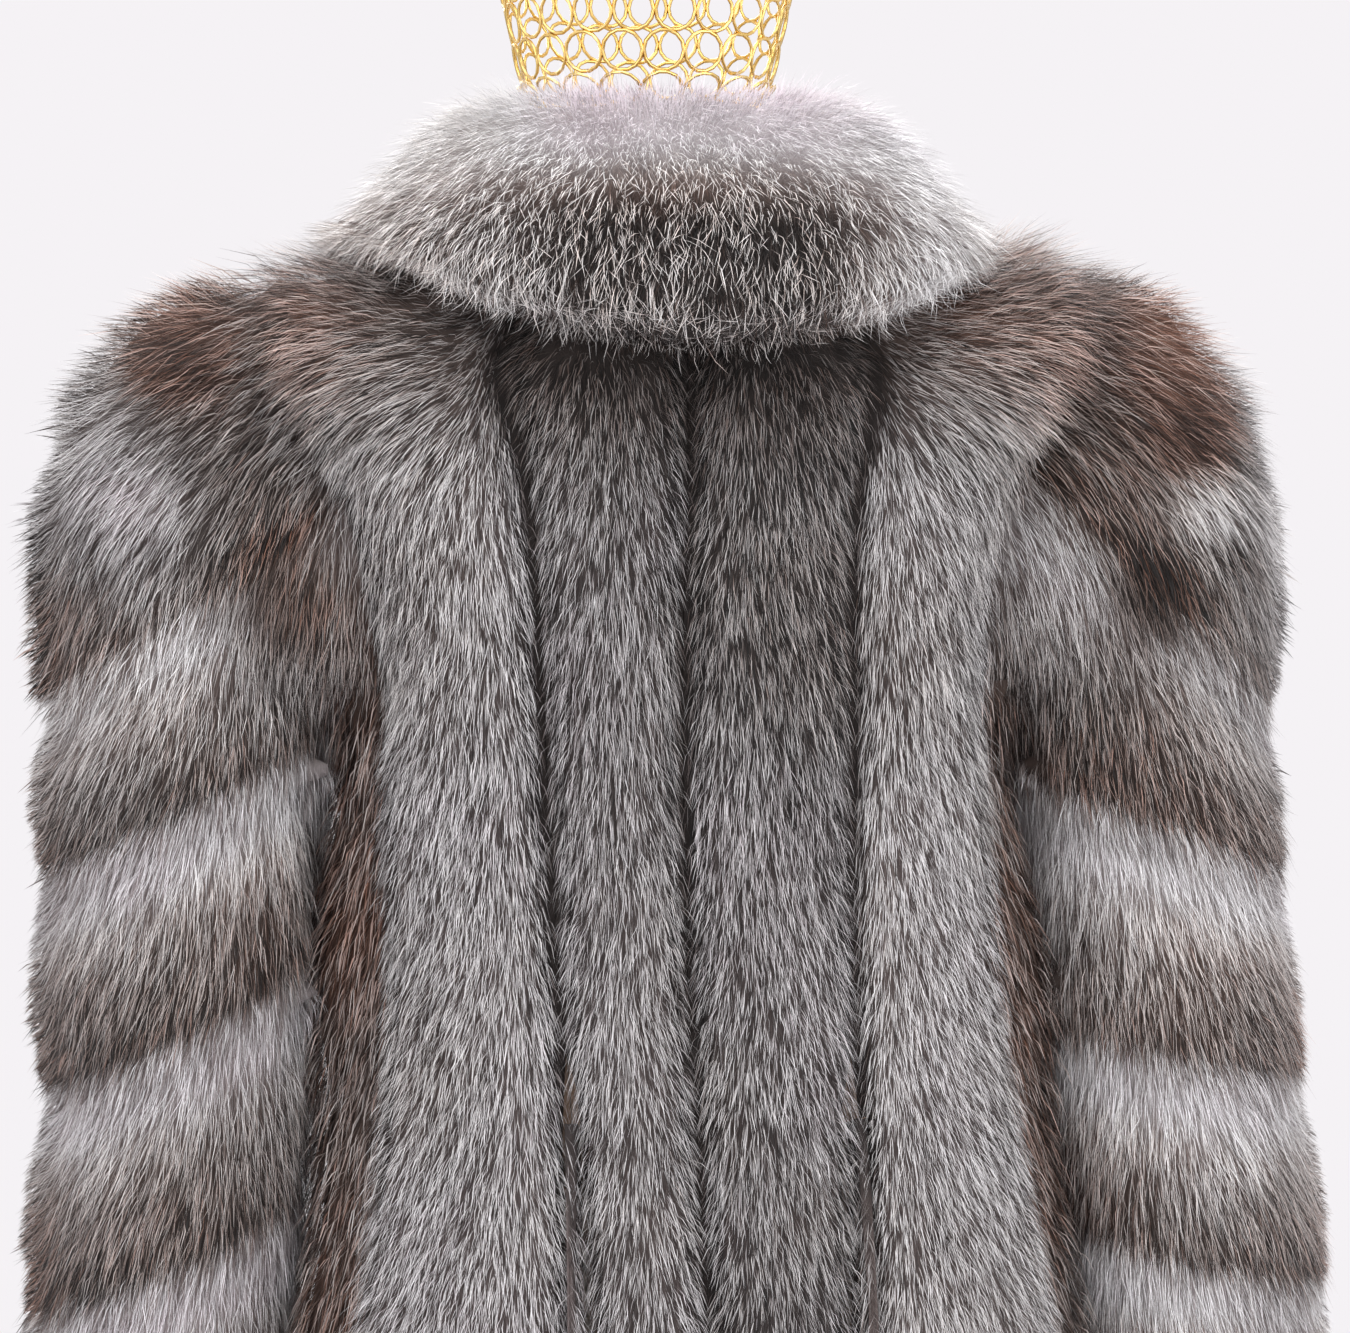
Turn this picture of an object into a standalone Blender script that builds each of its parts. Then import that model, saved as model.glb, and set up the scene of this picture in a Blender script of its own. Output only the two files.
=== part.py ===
"""Silver fox fur coat on a limbless dress form with a wire head.

Metres, +Z up. The wearer's front faces -Y and the wearer's left is +X.
The origin is on the floor, at the middle of the stand's round base.

Every cloth ring is read from a table of sections. A fur wall goes from the
leather side (the inner face) out to the tips of the fur (the outer face), so
its thickness is the real depth of the pile: deep on a pelt, thin at a seam.
"""
import math

import bmesh
import bpy
from mathutils import Vector

# ---------------------------------------------------------------- sizes
HALF_GAP = 0.00017          # half the gap between two pieces at a seam
ARMHOLE_GAP = 0.00045       # between a sleeve and the panels at the armhole
NECK_GAP = 0.0006           # between the collar's foot and the panels' top edges
FORM_GAP = 0.0006           # between the coat's shoulders and the form
ROUNDNESS = 2.35            # exponent of the torso's rings, 2 is an ellipse
COLLAR_ROUNDNESS = 2.1
SIDE_SEAM = 27.0            # angle of the side seams, from the wearer's side
CENTRE_BACK = 90.0
CENTRE_FRONT = -90.0
SWAY = -0.0135              # the coat hangs this far towards the wearer's right
SWAY_TOP = 1.32             # from none here
SWAY_BOTTOM = 0.86          # to all of it here

# The coat's leather side from hem to neck. half_width is along X, back and
# front along Y. A ring's height differs at the side, the back and the front.
# fur is the depth of the pile, side_fur its share under the arm, seam the angle
# of the seam between two strips, and drift how far the centre back seam strays.
TORSO_COLUMNS = ("half_width", "back", "front", "z_side", "z_back", "z_front",
                 "fur", "side_fur", "seam", "drift")
TORSO_ROWS = {
    "hem":      (0.222, 0.158, 0.160, 0.580, 0.580, 0.580, 0.024, 0.90, 68.5, 3.0),
    "thigh":    (0.208, 0.150, 0.152, 0.680, 0.680, 0.680, 0.036, 0.80, 68.5, 3.0),
    "low_hip":  (0.193, 0.141, 0.142, 0.780, 0.780, 0.780, 0.036, 0.72, 68.5, 3.0),
    "hip":      (0.179, 0.131, 0.132, 0.865, 0.865, 0.865, 0.034, 0.80, 68.0, 3.0),
    "high_hip": (0.165, 0.119, 0.121, 0.955, 0.955, 0.955, 0.032, 1.02, 65.0, 3.4),
    "waist":    (0.156, 0.108, 0.115, 1.050, 1.050, 1.050, 0.030, 1.20, 62.7, 3.8),
    "ribs":     (0.159, 0.112, 0.124, 1.122, 1.122, 1.122, 0.032, 1.00, 62.7, 3.4),
    "underarm": (0.164, 0.118, 0.131, 1.190, 1.190, 1.190, 0.034, 0.80, 63.0, 3.0),
    "chest":    (0.168, 0.120, 0.128, 1.252, 1.243, 1.238, 0.035, 0.80, 63.5, 2.0),
    "blade":    (0.175, 0.117, 0.116, 1.316, 1.296, 1.284, 0.037, 0.80, 63.0, 1.0),
    "shoulder": (0.184, 0.106, 0.100, 1.379, 1.347, 1.326, 0.038, 0.80, 61.0, 0.4),
    "slope":    (0.146, 0.094, 0.087, 1.397, 1.385, 1.354, 0.021, 0.80, 60.0, 0.0),
    "slope_in": (0.107, 0.080, 0.075, 1.413, 1.415, 1.374, 0.011, 0.80, 59.0, 0.0),
    "neck":     (0.071, 0.065, 0.065, 1.428, 1.441, 1.390, 0.009, 0.80, 58.0, 0.0),
}
ROW_NUMBER = {name: number for number, name in enumerate(TORSO_ROWS)}
UNDERARM, SHOULDER, NECK = (ROW_NUMBER[n] for n in ("underarm", "shoulder", "neck"))
GODET_TOP = ROW_NUMBER["hip"]
GODET_HALF_ANGLE = 6.0      # at the hem
GODET_TIP_ANGLE = 0.7

# How far across a strip its columns lie, and the fur's depth there as a share.
# A wide strip is counted from its side seam, a narrow one from its outer seam.
NARROW_STRIP = ((0.0, 0.42), (0.12, 0.88), (0.5, 1.0), (0.88, 0.88), (1.0, 0.42))
WIDE_STRIP = ((0.0, 0.62), (0.08, 0.92), (0.22, 1.0), (0.45, 1.0), (0.7, 1.0),
              (0.9, 0.88), (1.0, 0.42))
SIDE_STRIP = ((0.0, 0.5), (1 / 6, 0.95), (1 / 3, 1.0), (0.5, 1.0), (2 / 3, 1.0),
              (5 / 6, 0.95), (1.0, 0.5))
GODET_STRIP = ((0.0, 0.5), (0.25, 0.9), (0.5, 1.0), (0.75, 0.9), (1.0, 0.5))

# A sleeve's leather rings from the armhole to the cuff. inner_x and inner_z
# place the ring's point nearest the body, turn is the way across to its outer
# point, from 0 straight up to 90 straight out. A band of fur ends at each row on
# the outside of the arm, and at inner_end, counted in rows, next to the body.
SLEEVE_COLUMNS = ("inner_x", "inner_z", "turn", "width", "half_depth", "middle_y", "fur",
                  "inner_end")
SLEEVE_ROWS = {
    "armhole": (0.164, 1.190, 6.0, 0.190, 0.058, 0.000, 0.036, 0.0),
    "cap":     (0.186, 1.200, 49.0, 0.152, 0.063, 0.000, 0.040, 1.0),
    "wedge":   (0.201, 1.182, 92.0, 0.107, 0.060, 0.000, 0.034, 1.3),
    "biceps":  (0.203, 1.150, 112.0, 0.108, 0.059, -0.004, 0.032, 3.0),
    "elbow":   (0.206, 1.036, 113.0, 0.112, 0.059, -0.008, 0.033, 4.0),
    "forearm": (0.216, 0.906, 109.0, 0.113, 0.058, -0.014, 0.034, 5.0),
    "cuff":    (0.228, 0.778, 98.0, 0.113, 0.058, -0.022, 0.022, 6.0),
}
CUFF = len(SLEEVE_ROWS) - 1
# Angles round the back half of a sleeve, from the seam by the body (0) to the
# seam down the outside of the arm (180), and the fur's share at each.
SLEEVE_ANGLES = ((0, 0.30), (14, 0.34), (30, 0.50), (48, 0.76), (66, 0.96), (84, 1.0),
                 (102, 1.0), (120, 1.0), (138, 1.0), (158, 0.94), (180, 0.72))
CORNER = 3                  # the armhole's lower corner is this many angles along
# Rows in one band: how far down it, and the fur's depth there as a share.
BAND_ROWS = ((0.0, 0.60), (0.2, 0.81), (0.55, 0.97), (0.87, 1.0))
RELIEF_ANGLE = 60.0         # the bands fade out from here to the seam by the body
ARMHOLE_CURVE = 2.2         # exponent of the armhole's edge on the torso
ARMHOLE_FUR_LOW = 0.010
ARMHOLE_FUR_TOP = 0.032
ARMHOLE_BLEND = 0.5         # the share of an outer strip that turns to the armhole
SLEEVE_HEAD = 0.5           # rows in which a sleeve's pile turns away from the armhole

# The collar's rings, from its lower edge over the roll to the foot at the neck.
RING_COLUMNS = ("half_width", "back", "front", "z_side", "z_back", "z_front")
COLLAR_ROWS = {
    "edge":      (0.181, 0.166, 0.148, 1.419, 1.362, 1.324),
    "fall_low":  (0.187, 0.186, 0.168, 1.432, 1.382, 1.344),
    "fall_mid":  (0.178, 0.188, 0.170, 1.452, 1.416, 1.376),
    "fall_high": (0.157, 0.171, 0.154, 1.472, 1.456, 1.412),
    "roll_out":  (0.129, 0.143, 0.128, 1.489, 1.487, 1.442),
    "roll_top":  (0.101, 0.113, 0.103, 1.499, 1.502, 1.460),
    "roll_in":   (0.083, 0.088, 0.083, 1.494, 1.500, 1.458),
    "stand":     (0.0735, 0.071, 0.071, 1.464, 1.475, 1.430),
}
COLLAR_CLEARANCE = 0.0040   # between the collar's underside and the fur below it
COLLAR_POINTS = 14          # across the collar, on each of its two faces
COLLAR_END_ANGLE = 2.0      # half the opening between the collar's two ends
COLLAR_END_ROUND = 24.0     # angle over which an end rounds down
COLLAR_END_LEAST = 0.45     # the share of its height left at the very end
COLLAR_UNDERLAP = 0.955     # how far out the underside reaches, as a share of the edge
COLLAR_SEARCH = 0.05        # step in rows to find that place
COLLAR_DROP = 0.006         # how far below the edge it may lie
COLLAR_LEAST = 0.012        # the thinnest that the collar is, at its edge

# The dress form below its shoulders, and its neck above them.
FORM_ROWS = {
    "bottom":   (0.128, 0.088, 0.084, 0.800, 0.800, 0.800),
    "bottom_edge": (0.146, 0.103, 0.098, 0.806, 0.806, 0.806),
    "hip":      (0.158, 0.112, 0.103, 0.880, 0.880, 0.880),
    "high_hip": (0.142, 0.098, 0.094, 0.965, 0.965, 0.965),
    "waist":    (0.118, 0.080, 0.084, 1.050, 1.050, 1.050),
    "ribs":     (0.126, 0.088, 0.098, 1.122, 1.122, 1.122),
    "bust":     (0.136, 0.095, 0.112, 1.190, 1.190, 1.190),
    "chest":    (0.143, 0.098, 0.106, 1.250, 1.252, 1.248),
    "blade":    (0.154, 0.097, 0.094, 1.312, 1.316, 1.300),
}
FORM_NECK_ROWS = {
    "neck_low": (0.0600, 0.0560, 0.0560, 1.446, 1.456, 1.416),
    "neck_top": (0.0570, 0.0550, 0.0550, 1.487, 1.487, 1.487),
}
FORM_SLIM = 0.88            # the form's depth at the shoulders, as a share of the coat's
FORM_STEPS = 32

# The head is turned: radius and height of its outer side, foot to crown.
HEAD_PROFILE = ((0.0420, 1.4875), (0.0560, 1.494), (0.0665, 1.505), (0.0705, 1.520),
                (0.0785, 1.556), (0.0835, 1.600), (0.0835, 1.645), (0.0770, 1.685),
                (0.0620, 1.715), (0.0380, 1.735), (0.0120, 1.742))
HEAD_FORWARD = 0.012        # the head's axis lies in front of the neck's
HEAD_WALL = 0.002
HEAD_STEPS = 24

POLE_RADIUS = 0.015
BASE_PROFILE = ((0.170, 0.0), (0.170, 0.008), (0.166, 0.012), (0.034, 0.016))
SOCKET_PROFILE = ((0.030, 0.0163), (0.030, 0.022), (0.023, 0.052))   # holds the pole's foot
TURNED_STEPS = 32


# ---------------------------------------------------------------- reading the tables
def catmull_rom(before, start, end, after, share):
    """The smooth value between start and end."""
    a = 2.0 * start
    b = end - before
    c = 2.0 * before - 5.0 * start + 4.0 * end - after
    d = 3.0 * (start - end) + after - before
    return 0.5 * (a + b * share + c * share ** 2 + d * share ** 3)


def smooth_step(share):
    share = min(max(share, 0.0), 1.0)
    return share * share * (3.0 - 2.0 * share)


def read_row(rows, columns, place):
    """The table's values at a place counted in rows, as a dict of named columns."""
    values = list(rows.values())
    last = len(values) - 1
    low = min(int(place), last - 1)
    picked = [values[min(max(low + step, 0), last)] for step in (-1, 0, 1, 2)]
    share = place - low
    return {name: catmull_rom(*(row[i] for row in picked), share)
            for i, name in enumerate(columns)}


def ring_point(row, angle, roundness):
    """A point of a ring. Angle 0 is the wearer's left, 90 the back, -90 the front."""
    cosine = math.cos(math.radians(angle))
    sine = math.sin(math.radians(angle))
    reach = (abs(cosine) ** roundness + abs(sine) ** roundness) ** (-1.0 / roundness)
    side = "back" if sine >= 0 else "front"
    height = row["z_side"] * cosine ** 2 + row["z_" + side] * sine ** 2
    return Vector((row["half_width"] * cosine * reach, row[side] * sine * reach, height))


def torso_point(angle, place):
    return ring_point(read_row(TORSO_ROWS, TORSO_COLUMNS, place), angle, ROUNDNESS)


def torso_normal(angle, place):
    """The way out of the cloth, from two short steps on the surface."""
    around = torso_point(angle + 0.5, place) - torso_point(angle - 0.5, place)
    lower, upper = max(place - 0.05, 0.0), min(place + 0.05, NECK)
    up = torso_point(angle, upper) - torso_point(angle, lower)
    return around.cross(up).normalized()


def fur_depth(place):
    return read_row(TORSO_ROWS, TORSO_COLUMNS, place)["fur"]


def gap_angle(place):
    """The angle that HALF_GAP covers on a ring."""
    row = read_row(TORSO_ROWS, TORSO_COLUMNS, place)
    return math.degrees(HALF_GAP / min(row["half_width"], row["back"], row["front"]))


# ---------------------------------------------------------------- making solids
def new_object(name, mesh_maker, material):
    mesh = bpy.data.meshes.new(name)
    bm = bmesh.new()
    mesh_maker(bm)
    bmesh.ops.remove_doubles(bm, verts=bm.verts, dist=1e-6)
    bmesh.ops.recalc_face_normals(bm, faces=bm.faces)
    bm.to_mesh(mesh)
    bm.free()
    mesh.shade_smooth()
    mesh.set_sharp_from_angle(angle=math.radians(40))
    mesh.materials.append(material)
    obj = bpy.data.objects.new(name, mesh)
    bpy.context.scene.collection.objects.link(obj)


def wall(bm, inner, outer):
    """A closed wall between two grids of points, which are lists of rows."""
    grids = [[[bm.verts.new(p) for p in row] for row in grid] for grid in (inner, outer)]
    rows, columns = len(inner), len(inner[0])
    for grid in grids:
        for i in range(rows - 1):
            for j in range(columns - 1):
                bm.faces.new((grid[i][j], grid[i][j + 1], grid[i + 1][j + 1], grid[i + 1][j]))
    inside, outside = grids
    for i in range(rows - 1):
        for j in (0, columns - 1):
            bm.faces.new((inside[i][j], inside[i + 1][j], outside[i + 1][j], outside[i][j]))
    for j in range(columns - 1):
        for i in (0, rows - 1):
            bm.faces.new((inside[i][j], inside[i][j + 1], outside[i][j + 1], outside[i][j]))


def loft(bm, rings):
    """Quads between closed rings of points, with both ends filled."""
    loops = [[bm.verts.new(p) for p in ring] for ring in rings]
    count = len(rings[0])
    for low, high in zip(loops, loops[1:]):
        for j in range(count):
            k = (j + 1) % count
            bm.faces.new((low[j], low[k], high[k], high[j]))
    bm.faces.new(loops[0])
    bm.faces.new(loops[-1])


def turned(profile, steps):
    """Rings of a turned shape from its (radius, height) profile."""
    angles = [math.tau * step / steps for step in range(steps)]
    return [[Vector((r * math.cos(a), r * math.sin(a), z)) for a in angles]
            for r, z in profile]


def mirrored(grid):
    return [[Vector((-p.x, p.y, p.z)) for p in row] for row in grid]


def swayed(grid):
    """The grid leaning sideways, as the whole coat hangs."""
    def shift(height):
        return SWAY * smooth_step((SWAY_TOP - height) / (SWAY_TOP - SWAY_BOTTOM))
    return [[Vector((p.x + shift(p.z), p.y, p.z)) for p in row] for row in grid]


def new_wall(name, grids, material, side):
    """The wearer's left piece as modelled, or its mirror image on the right."""
    inner, outer = grids if side == "left" else map(mirrored, grids)
    new_object(name, lambda bm: wall(bm, swayed(inner), swayed(outer)), material)


def new_material(name, colour, roughness, metallic=0.0):
    made = bpy.data.materials.new(name)
    made.use_nodes = True
    shader = made.node_tree.nodes["Principled BSDF"]
    shader.inputs["Base Color"].default_value = (*colour, 1.0)
    shader.inputs["Roughness"].default_value = roughness
    shader.inputs["Metallic"].default_value = metallic
    return made


# ---------------------------------------------------------------- the armhole
def armhole_angle(place):
    """The angle of the armhole's edge on the torso, 0 at the shoulder point."""
    share = (place - UNDERARM) / (SHOULDER - UNDERARM)
    return SIDE_SEAM * math.sqrt(max(0.0, 1.0 - share ** ARMHOLE_CURVE))


def armhole_rise(number):
    """How far up from the corner to the shoulder point a sleeve angle meets the torso."""
    def height(at):
        return 1.0 - math.cos(math.radians(SLEEVE_ANGLES[at][0]))
    return max(0.0, (height(number) - height(CORNER)) / (height(-1) - height(CORNER)))


def armhole_place(number):
    return UNDERARM + (SHOULDER - UNDERARM) * armhole_rise(number)


def armhole_spot(number):
    """Angle and place of the armhole's point that meets sleeve angle number."""
    if number <= CORNER:
        return SIDE_SEAM * number / CORNER, UNDERARM
    place = armhole_place(number)
    return armhole_angle(place), place


def armhole_direction(number):
    """The seam's way out is midway between the torso's and the sleeve's."""
    angle, place = armhole_spot(number)
    around = math.radians(SLEEVE_ANGLES[number][0])
    turn = math.radians(SLEEVE_ROWS["armhole"][2])
    across = -math.cos(around)
    sleeve_out = Vector((across * math.sin(turn), math.sin(around), across * math.cos(turn)))
    out = torso_normal(angle, place) + sleeve_out
    if number in (0, len(SLEEVE_ANGLES) - 1):
        out.y = 0.0
    return out.normalized()


def armhole_fur(number):
    share = math.sqrt(armhole_rise(number))
    return ARMHOLE_FUR_LOW + (ARMHOLE_FUR_TOP - ARMHOLE_FUR_LOW) * share


# ---------------------------------------------------------------- torso panels
BELOW_ARM = [0.0, 0.25] + [float(n) for n in range(1, UNDERARM)]
BESIDE_ARM = [armhole_place(number) for number in range(CORNER, len(SLEEVE_ANGLES))]
OVER_SHOULDER = [float(SHOULDER), SHOULDER + 0.75, SHOULDER + 1.5, SHOULDER + 2.25, float(NECK)]
FULL_HEIGHT = BELOW_ARM + BESIDE_ARM + OVER_SHOULDER[1:]


def godet_half_angle(place):
    """Half the angle that a godet takes between two strips, none above its top."""
    if place > GODET_TOP:
        return 0.0
    share = (GODET_TOP - place) / GODET_TOP
    return GODET_TIP_ANGLE + (GODET_HALF_ANGLE - GODET_TIP_ANGLE) * share


def strip_seam(place):
    return read_row(TORSO_ROWS, TORSO_COLUMNS, place)["seam"]


def centre_seam(place, side, towards):
    """The angle of the centre seam, which strays to the wearer's left at the back."""
    drift = read_row(TORSO_ROWS, TORSO_COLUMNS, place)["drift"] if towards == 1 else 0.0
    return CENTRE_BACK - drift * (1 if side == "left" else -1)


def outer_edge(place):
    """The angle where a back or front strip ends towards the side."""
    if place <= UNDERARM:
        return SIDE_SEAM
    return armhole_angle(place) if place < SHOULDER else 0.0


def panel(places, start, end, profile, towards, thinned_by=None):
    """Inner and outer grids of a strip. start and end give an angle for a place,
    towards is 1 on the back and -1 on the front, and thinned_by names the
    table's column that the fur's depth is multiplied by."""
    inner, outer = [], []
    for place in places:
        gap = gap_angle(place)
        low, high = start(place) + gap, end(place) - gap
        row = read_row(TORSO_ROWS, TORSO_COLUMNS, place)
        thin = row[thinned_by] if thinned_by else 1.0
        inner_row, outer_row = [], []
        for across, share in profile:
            angle = towards * (low + (high - low) * across)
            point = torso_point(angle, place)
            depth = fur_depth(place) * share * thin
            inner_row.append(point)
            outer_row.append(point + torso_normal(angle, place) * depth)
        inner.append(inner_row)
        outer.append(outer_row)
    return inner, outer


def fit_to_armhole(grids, places, towards):
    """Thins and turns the outer strip's fur towards the seam round the armhole."""
    inner, outer = grids
    for i, place in enumerate(places):
        if place not in BESIDE_ARM:
            continue
        number = CORNER + BESIDE_ARM.index(place)
        edge_out = armhole_direction(number)
        edge_out.y *= towards
        for j, (across, _) in enumerate(WIDE_STRIP):
            pile = outer[i][j] - inner[i][j]
            share = smooth_step(across / ARMHOLE_BLEND)
            out = edge_out.lerp(pile.normalized(), share).normalized()
            depth = armhole_fur(number) * (1.0 - share) + pile.length * share
            outer[i][j] = inner[i][j] + out * depth
    return inner, outer


def side_panel():
    """The strip under the arm, whose top edge is the bottom of the armhole."""
    places = BELOW_ARM + [float(UNDERARM)]
    inner, outer = panel(places, lambda p: -SIDE_SEAM, lambda p: SIDE_SEAM, SIDE_STRIP, 1,
                         "side_fur")
    for j, point in enumerate(inner[-1]):
        number = abs(j - CORNER)
        out = armhole_direction(number)
        out.y *= 1 if j >= CORNER else -1
        outer[-1][j] = point + out * armhole_fur(number)
    return inner, outer


def godet_panel():
    places = [p for p in BELOW_ARM if p <= GODET_TOP]
    return panel(places, lambda p: strip_seam(p) - godet_half_angle(p),
                 lambda p: strip_seam(p) + godet_half_angle(p), GODET_STRIP, 1)


def torso_pieces(side):
    """Grids of the back, front and side strips and the godet, by node name."""
    pieces = {}
    for name, towards in (("back", 1), ("front", -1)):
        godet = godet_half_angle if name == "back" else (lambda place: 0.0)
        outer_strip = panel(FULL_HEIGHT, outer_edge,
                            lambda p, g=godet: strip_seam(p) - g(p), WIDE_STRIP, towards)
        pieces[f"{name}_strip_outer_{side}"] = fit_to_armhole(outer_strip, FULL_HEIGHT, towards)
        pieces[f"{name}_strip_inner_{side}"] = panel(
            FULL_HEIGHT, lambda p, g=godet: strip_seam(p) + g(p),
            lambda p, t=towards: centre_seam(p, side, t), NARROW_STRIP, towards)
    pieces[f"side_strip_{side}"] = side_panel()
    pieces[f"godet_{side}"] = godet_panel()
    return pieces


# ---------------------------------------------------------------- sleeves
def sleeve_axis():
    """Where a sleeve leads away from its armhole, square to the armhole's ring."""
    turn = math.radians(SLEEVE_ROWS["armhole"][2])
    return Vector((math.cos(turn), 0.0, -math.sin(turn)))


def armhole_start(number, towards):
    """A sleeve's first leather point, a gap away from the panel that it meets."""
    def spot(at):
        angle, place = armhole_spot(at)
        return torso_point(angle * towards, place)

    last = len(SLEEVE_ANGLES) - 1
    along = spot(min(number + 1, last)) - spot(max(number - 1, 0))
    out = armhole_direction(number)
    out.y *= towards
    if number in (0, last):
        along = Vector((0.0, 1.0, 0.0))
    away = along.cross(out).normalized()
    if away.dot(sleeve_axis()) < 0:
        away.negate()
    return spot(number) + away * ARMHOLE_GAP, out


def sleeve_ring(place, number, towards):
    """A point of the sleeve's table: place is counted in rows, number in angles."""
    row = read_row(SLEEVE_ROWS, SLEEVE_COLUMNS, place)
    turn, around = math.radians(row["turn"]), math.radians(SLEEVE_ANGLES[number][0])
    across = Vector((math.sin(turn), 0.0, math.cos(turn)))
    point = Vector((row["inner_x"], row["middle_y"], row["inner_z"]))
    point += across * (row["width"] * (1.0 - math.cos(around)) / 2)
    point.y += towards * max(math.sin(around) * row["half_depth"], HALF_GAP)
    return point


def sleeve_leather(place, number, towards):
    """A leather point of a sleeve, whose first ring is fitted to the armhole."""
    point = sleeve_ring(place, number, towards)
    if place < 1.0:
        fit = armhole_start(number, towards)[0] - sleeve_ring(0.0, number, towards)
        fit.y = 0.0 if number in (0, len(SLEEVE_ANGLES) - 1) else fit.y
        point += fit * (1.0 - smooth_step(place))
    return point


def sleeve_normal(place, number, towards):
    """The way out of the cloth, from short steps along and around the sleeve."""
    last = len(SLEEVE_ANGLES) - 1
    lower, upper = max(place - 0.05, 0.0), min(place + 0.05, CUFF)
    along = sleeve_leather(upper, number, towards) - sleeve_leather(lower, number, towards)
    if number in (0, last):
        around = Vector((0.0, towards if number == 0 else -towards, 0.0))
        along.y = 0.0
    else:
        around = sleeve_leather(place, number + 1, towards)
        around -= sleeve_leather(place, number - 1, towards)
    return along.cross(around).normalized() * -towards


def band_end(band, number):
    """The place where a band ends, which falls towards the outside of the arm."""
    inner_end = list(SLEEVE_ROWS.values())[band][SLEEVE_COLUMNS.index("inner_end")]
    return inner_end + (band - inner_end) * smooth_step(SLEEVE_ANGLES[number][0] / 180.0)


def sleeve_half(towards):
    """Grids of a sleeve's back half (1) or front half (-1), armhole to cuff."""
    lines = [(band, down, share) for band in range(CUFF) for down, share in BAND_ROWS]
    lines.append((CUFF - 1, 1.0, 1.0))
    inner, outer = [], []
    for band, down, band_share in lines:
        inner_row, outer_row = [], []
        for number, (angle, share) in enumerate(SLEEVE_ANGLES):
            start, end = band_end(band, number), band_end(band + 1, number)
            place = start + (end - start) * down
            point = sleeve_leather(place, number, towards)
            out = sleeve_normal(place, number, towards)
            relief = (1.0 - band_share) * smooth_step(angle / RELIEF_ANGLE)
            depth = read_row(SLEEVE_ROWS, SLEEVE_COLUMNS, place)["fur"] * share
            depth *= 1.0 - relief
            if place < 1.0:
                edge_out = armhole_start(number, towards)[1]
                out = edge_out.lerp(out, smooth_step(place / SLEEVE_HEAD)).normalized()
                fur_here = smooth_step(place / BAND_ROWS[1][0])
                depth = armhole_fur(number) * (1.0 - fur_here) + depth * fur_here
            inner_row.append(point)
            outer_row.append(point + out * depth)
        inner.append(inner_row)
        outer.append(outer_row)
    return inner, outer


# ---------------------------------------------------------------- collar
def collar_end_height(angle):
    """How much of its height the collar keeps near its ends at the front."""
    past_end = (angle - CENTRE_FRONT) % 360.0 - COLLAR_END_ANGLE
    from_end = min(past_end, 360.0 - 2.0 * COLLAR_END_ANGLE - past_end)
    share = min(max(from_end / COLLAR_END_ROUND, 0.0), 1.0)
    return COLLAR_END_LEAST + (1.0 - COLLAR_END_LEAST) * math.sqrt(1.0 - (1.0 - share) ** 2)


def over_fur(angle, place):
    """A point of the collar's underside, moved out from the panel under it."""
    lift = fur_depth(place) + COLLAR_CLEARANCE
    return torso_point(angle, place) + torso_normal(angle, place) * lift


def collar_reach(angle):
    """The torso's place that lies just inside and below the collar's edge."""
    edge = ring_point(dict(zip(RING_COLUMNS, COLLAR_ROWS["edge"])), angle, COLLAR_ROUNDNESS)
    place = float(NECK)
    below = over_fur(angle, place)
    while below.z > edge.z - COLLAR_DROP and below.xy.length < edge.xy.length * COLLAR_UNDERLAP:
        place -= COLLAR_SEARCH
        below = over_fur(angle, place)
    return place


def collar_section(angle):
    """The collar's two faces at one angle: the underside from the foot at the neck
    out to below the edge, and the top from the stand over the roll to the edge."""
    neck = torso_point(angle, NECK)
    foot = neck + (neck - torso_point(angle, NECK - 0.1)).normalized() * NECK_GAP
    under = [foot, foot + over_fur(angle, NECK) - neck]
    steps = COLLAR_POINTS - len(under)
    down = (collar_reach(angle) - NECK) / steps
    places = [NECK + down * step for step in range(1, steps + 1)]
    under += [over_fur(angle, place) for place in places]
    last = len(COLLAR_ROWS) - 1
    top = []
    for j, low in enumerate(under):
        row = read_row(COLLAR_ROWS, RING_COLUMNS, last - last * j / (COLLAR_POINTS - 1))
        point = ring_point(row, angle, COLLAR_ROUNDNESS)
        if j >= len(under) - steps // 2:
            out = torso_normal(angle, places[j - len(under)])
            point += out * max(0.0, COLLAR_LEAST - (point - low).dot(out))
        top.append(low.lerp(point, collar_end_height(angle)))
    return under, top


def collar_angles():
    """The panels' own columns at the neck, from one end at the front to the other."""
    seam = strip_seam(NECK)
    quarter = [seam * across for across, _ in WIDE_STRIP]
    quarter += [seam + (CENTRE_BACK - seam) * across for across, _ in NARROW_STRIP[1:]]
    left = [-angle for angle in quarter[:0:-1]] + quarter
    angles = left + [180.0 - angle for angle in left[-2::-1]]
    angles[0] += COLLAR_END_ANGLE
    angles[-1] -= COLLAR_END_ANGLE
    return angles


def collar_grids():
    sections = [collar_section(angle) for angle in collar_angles()]
    return [under for under, _ in sections], [top for _, top in sections]


# ---------------------------------------------------------------- dress form
def whole_ring(row, roundness):
    return [ring_point(row, 360.0 * step / FORM_STEPS, roundness)
            for step in range(FORM_STEPS)]


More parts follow.
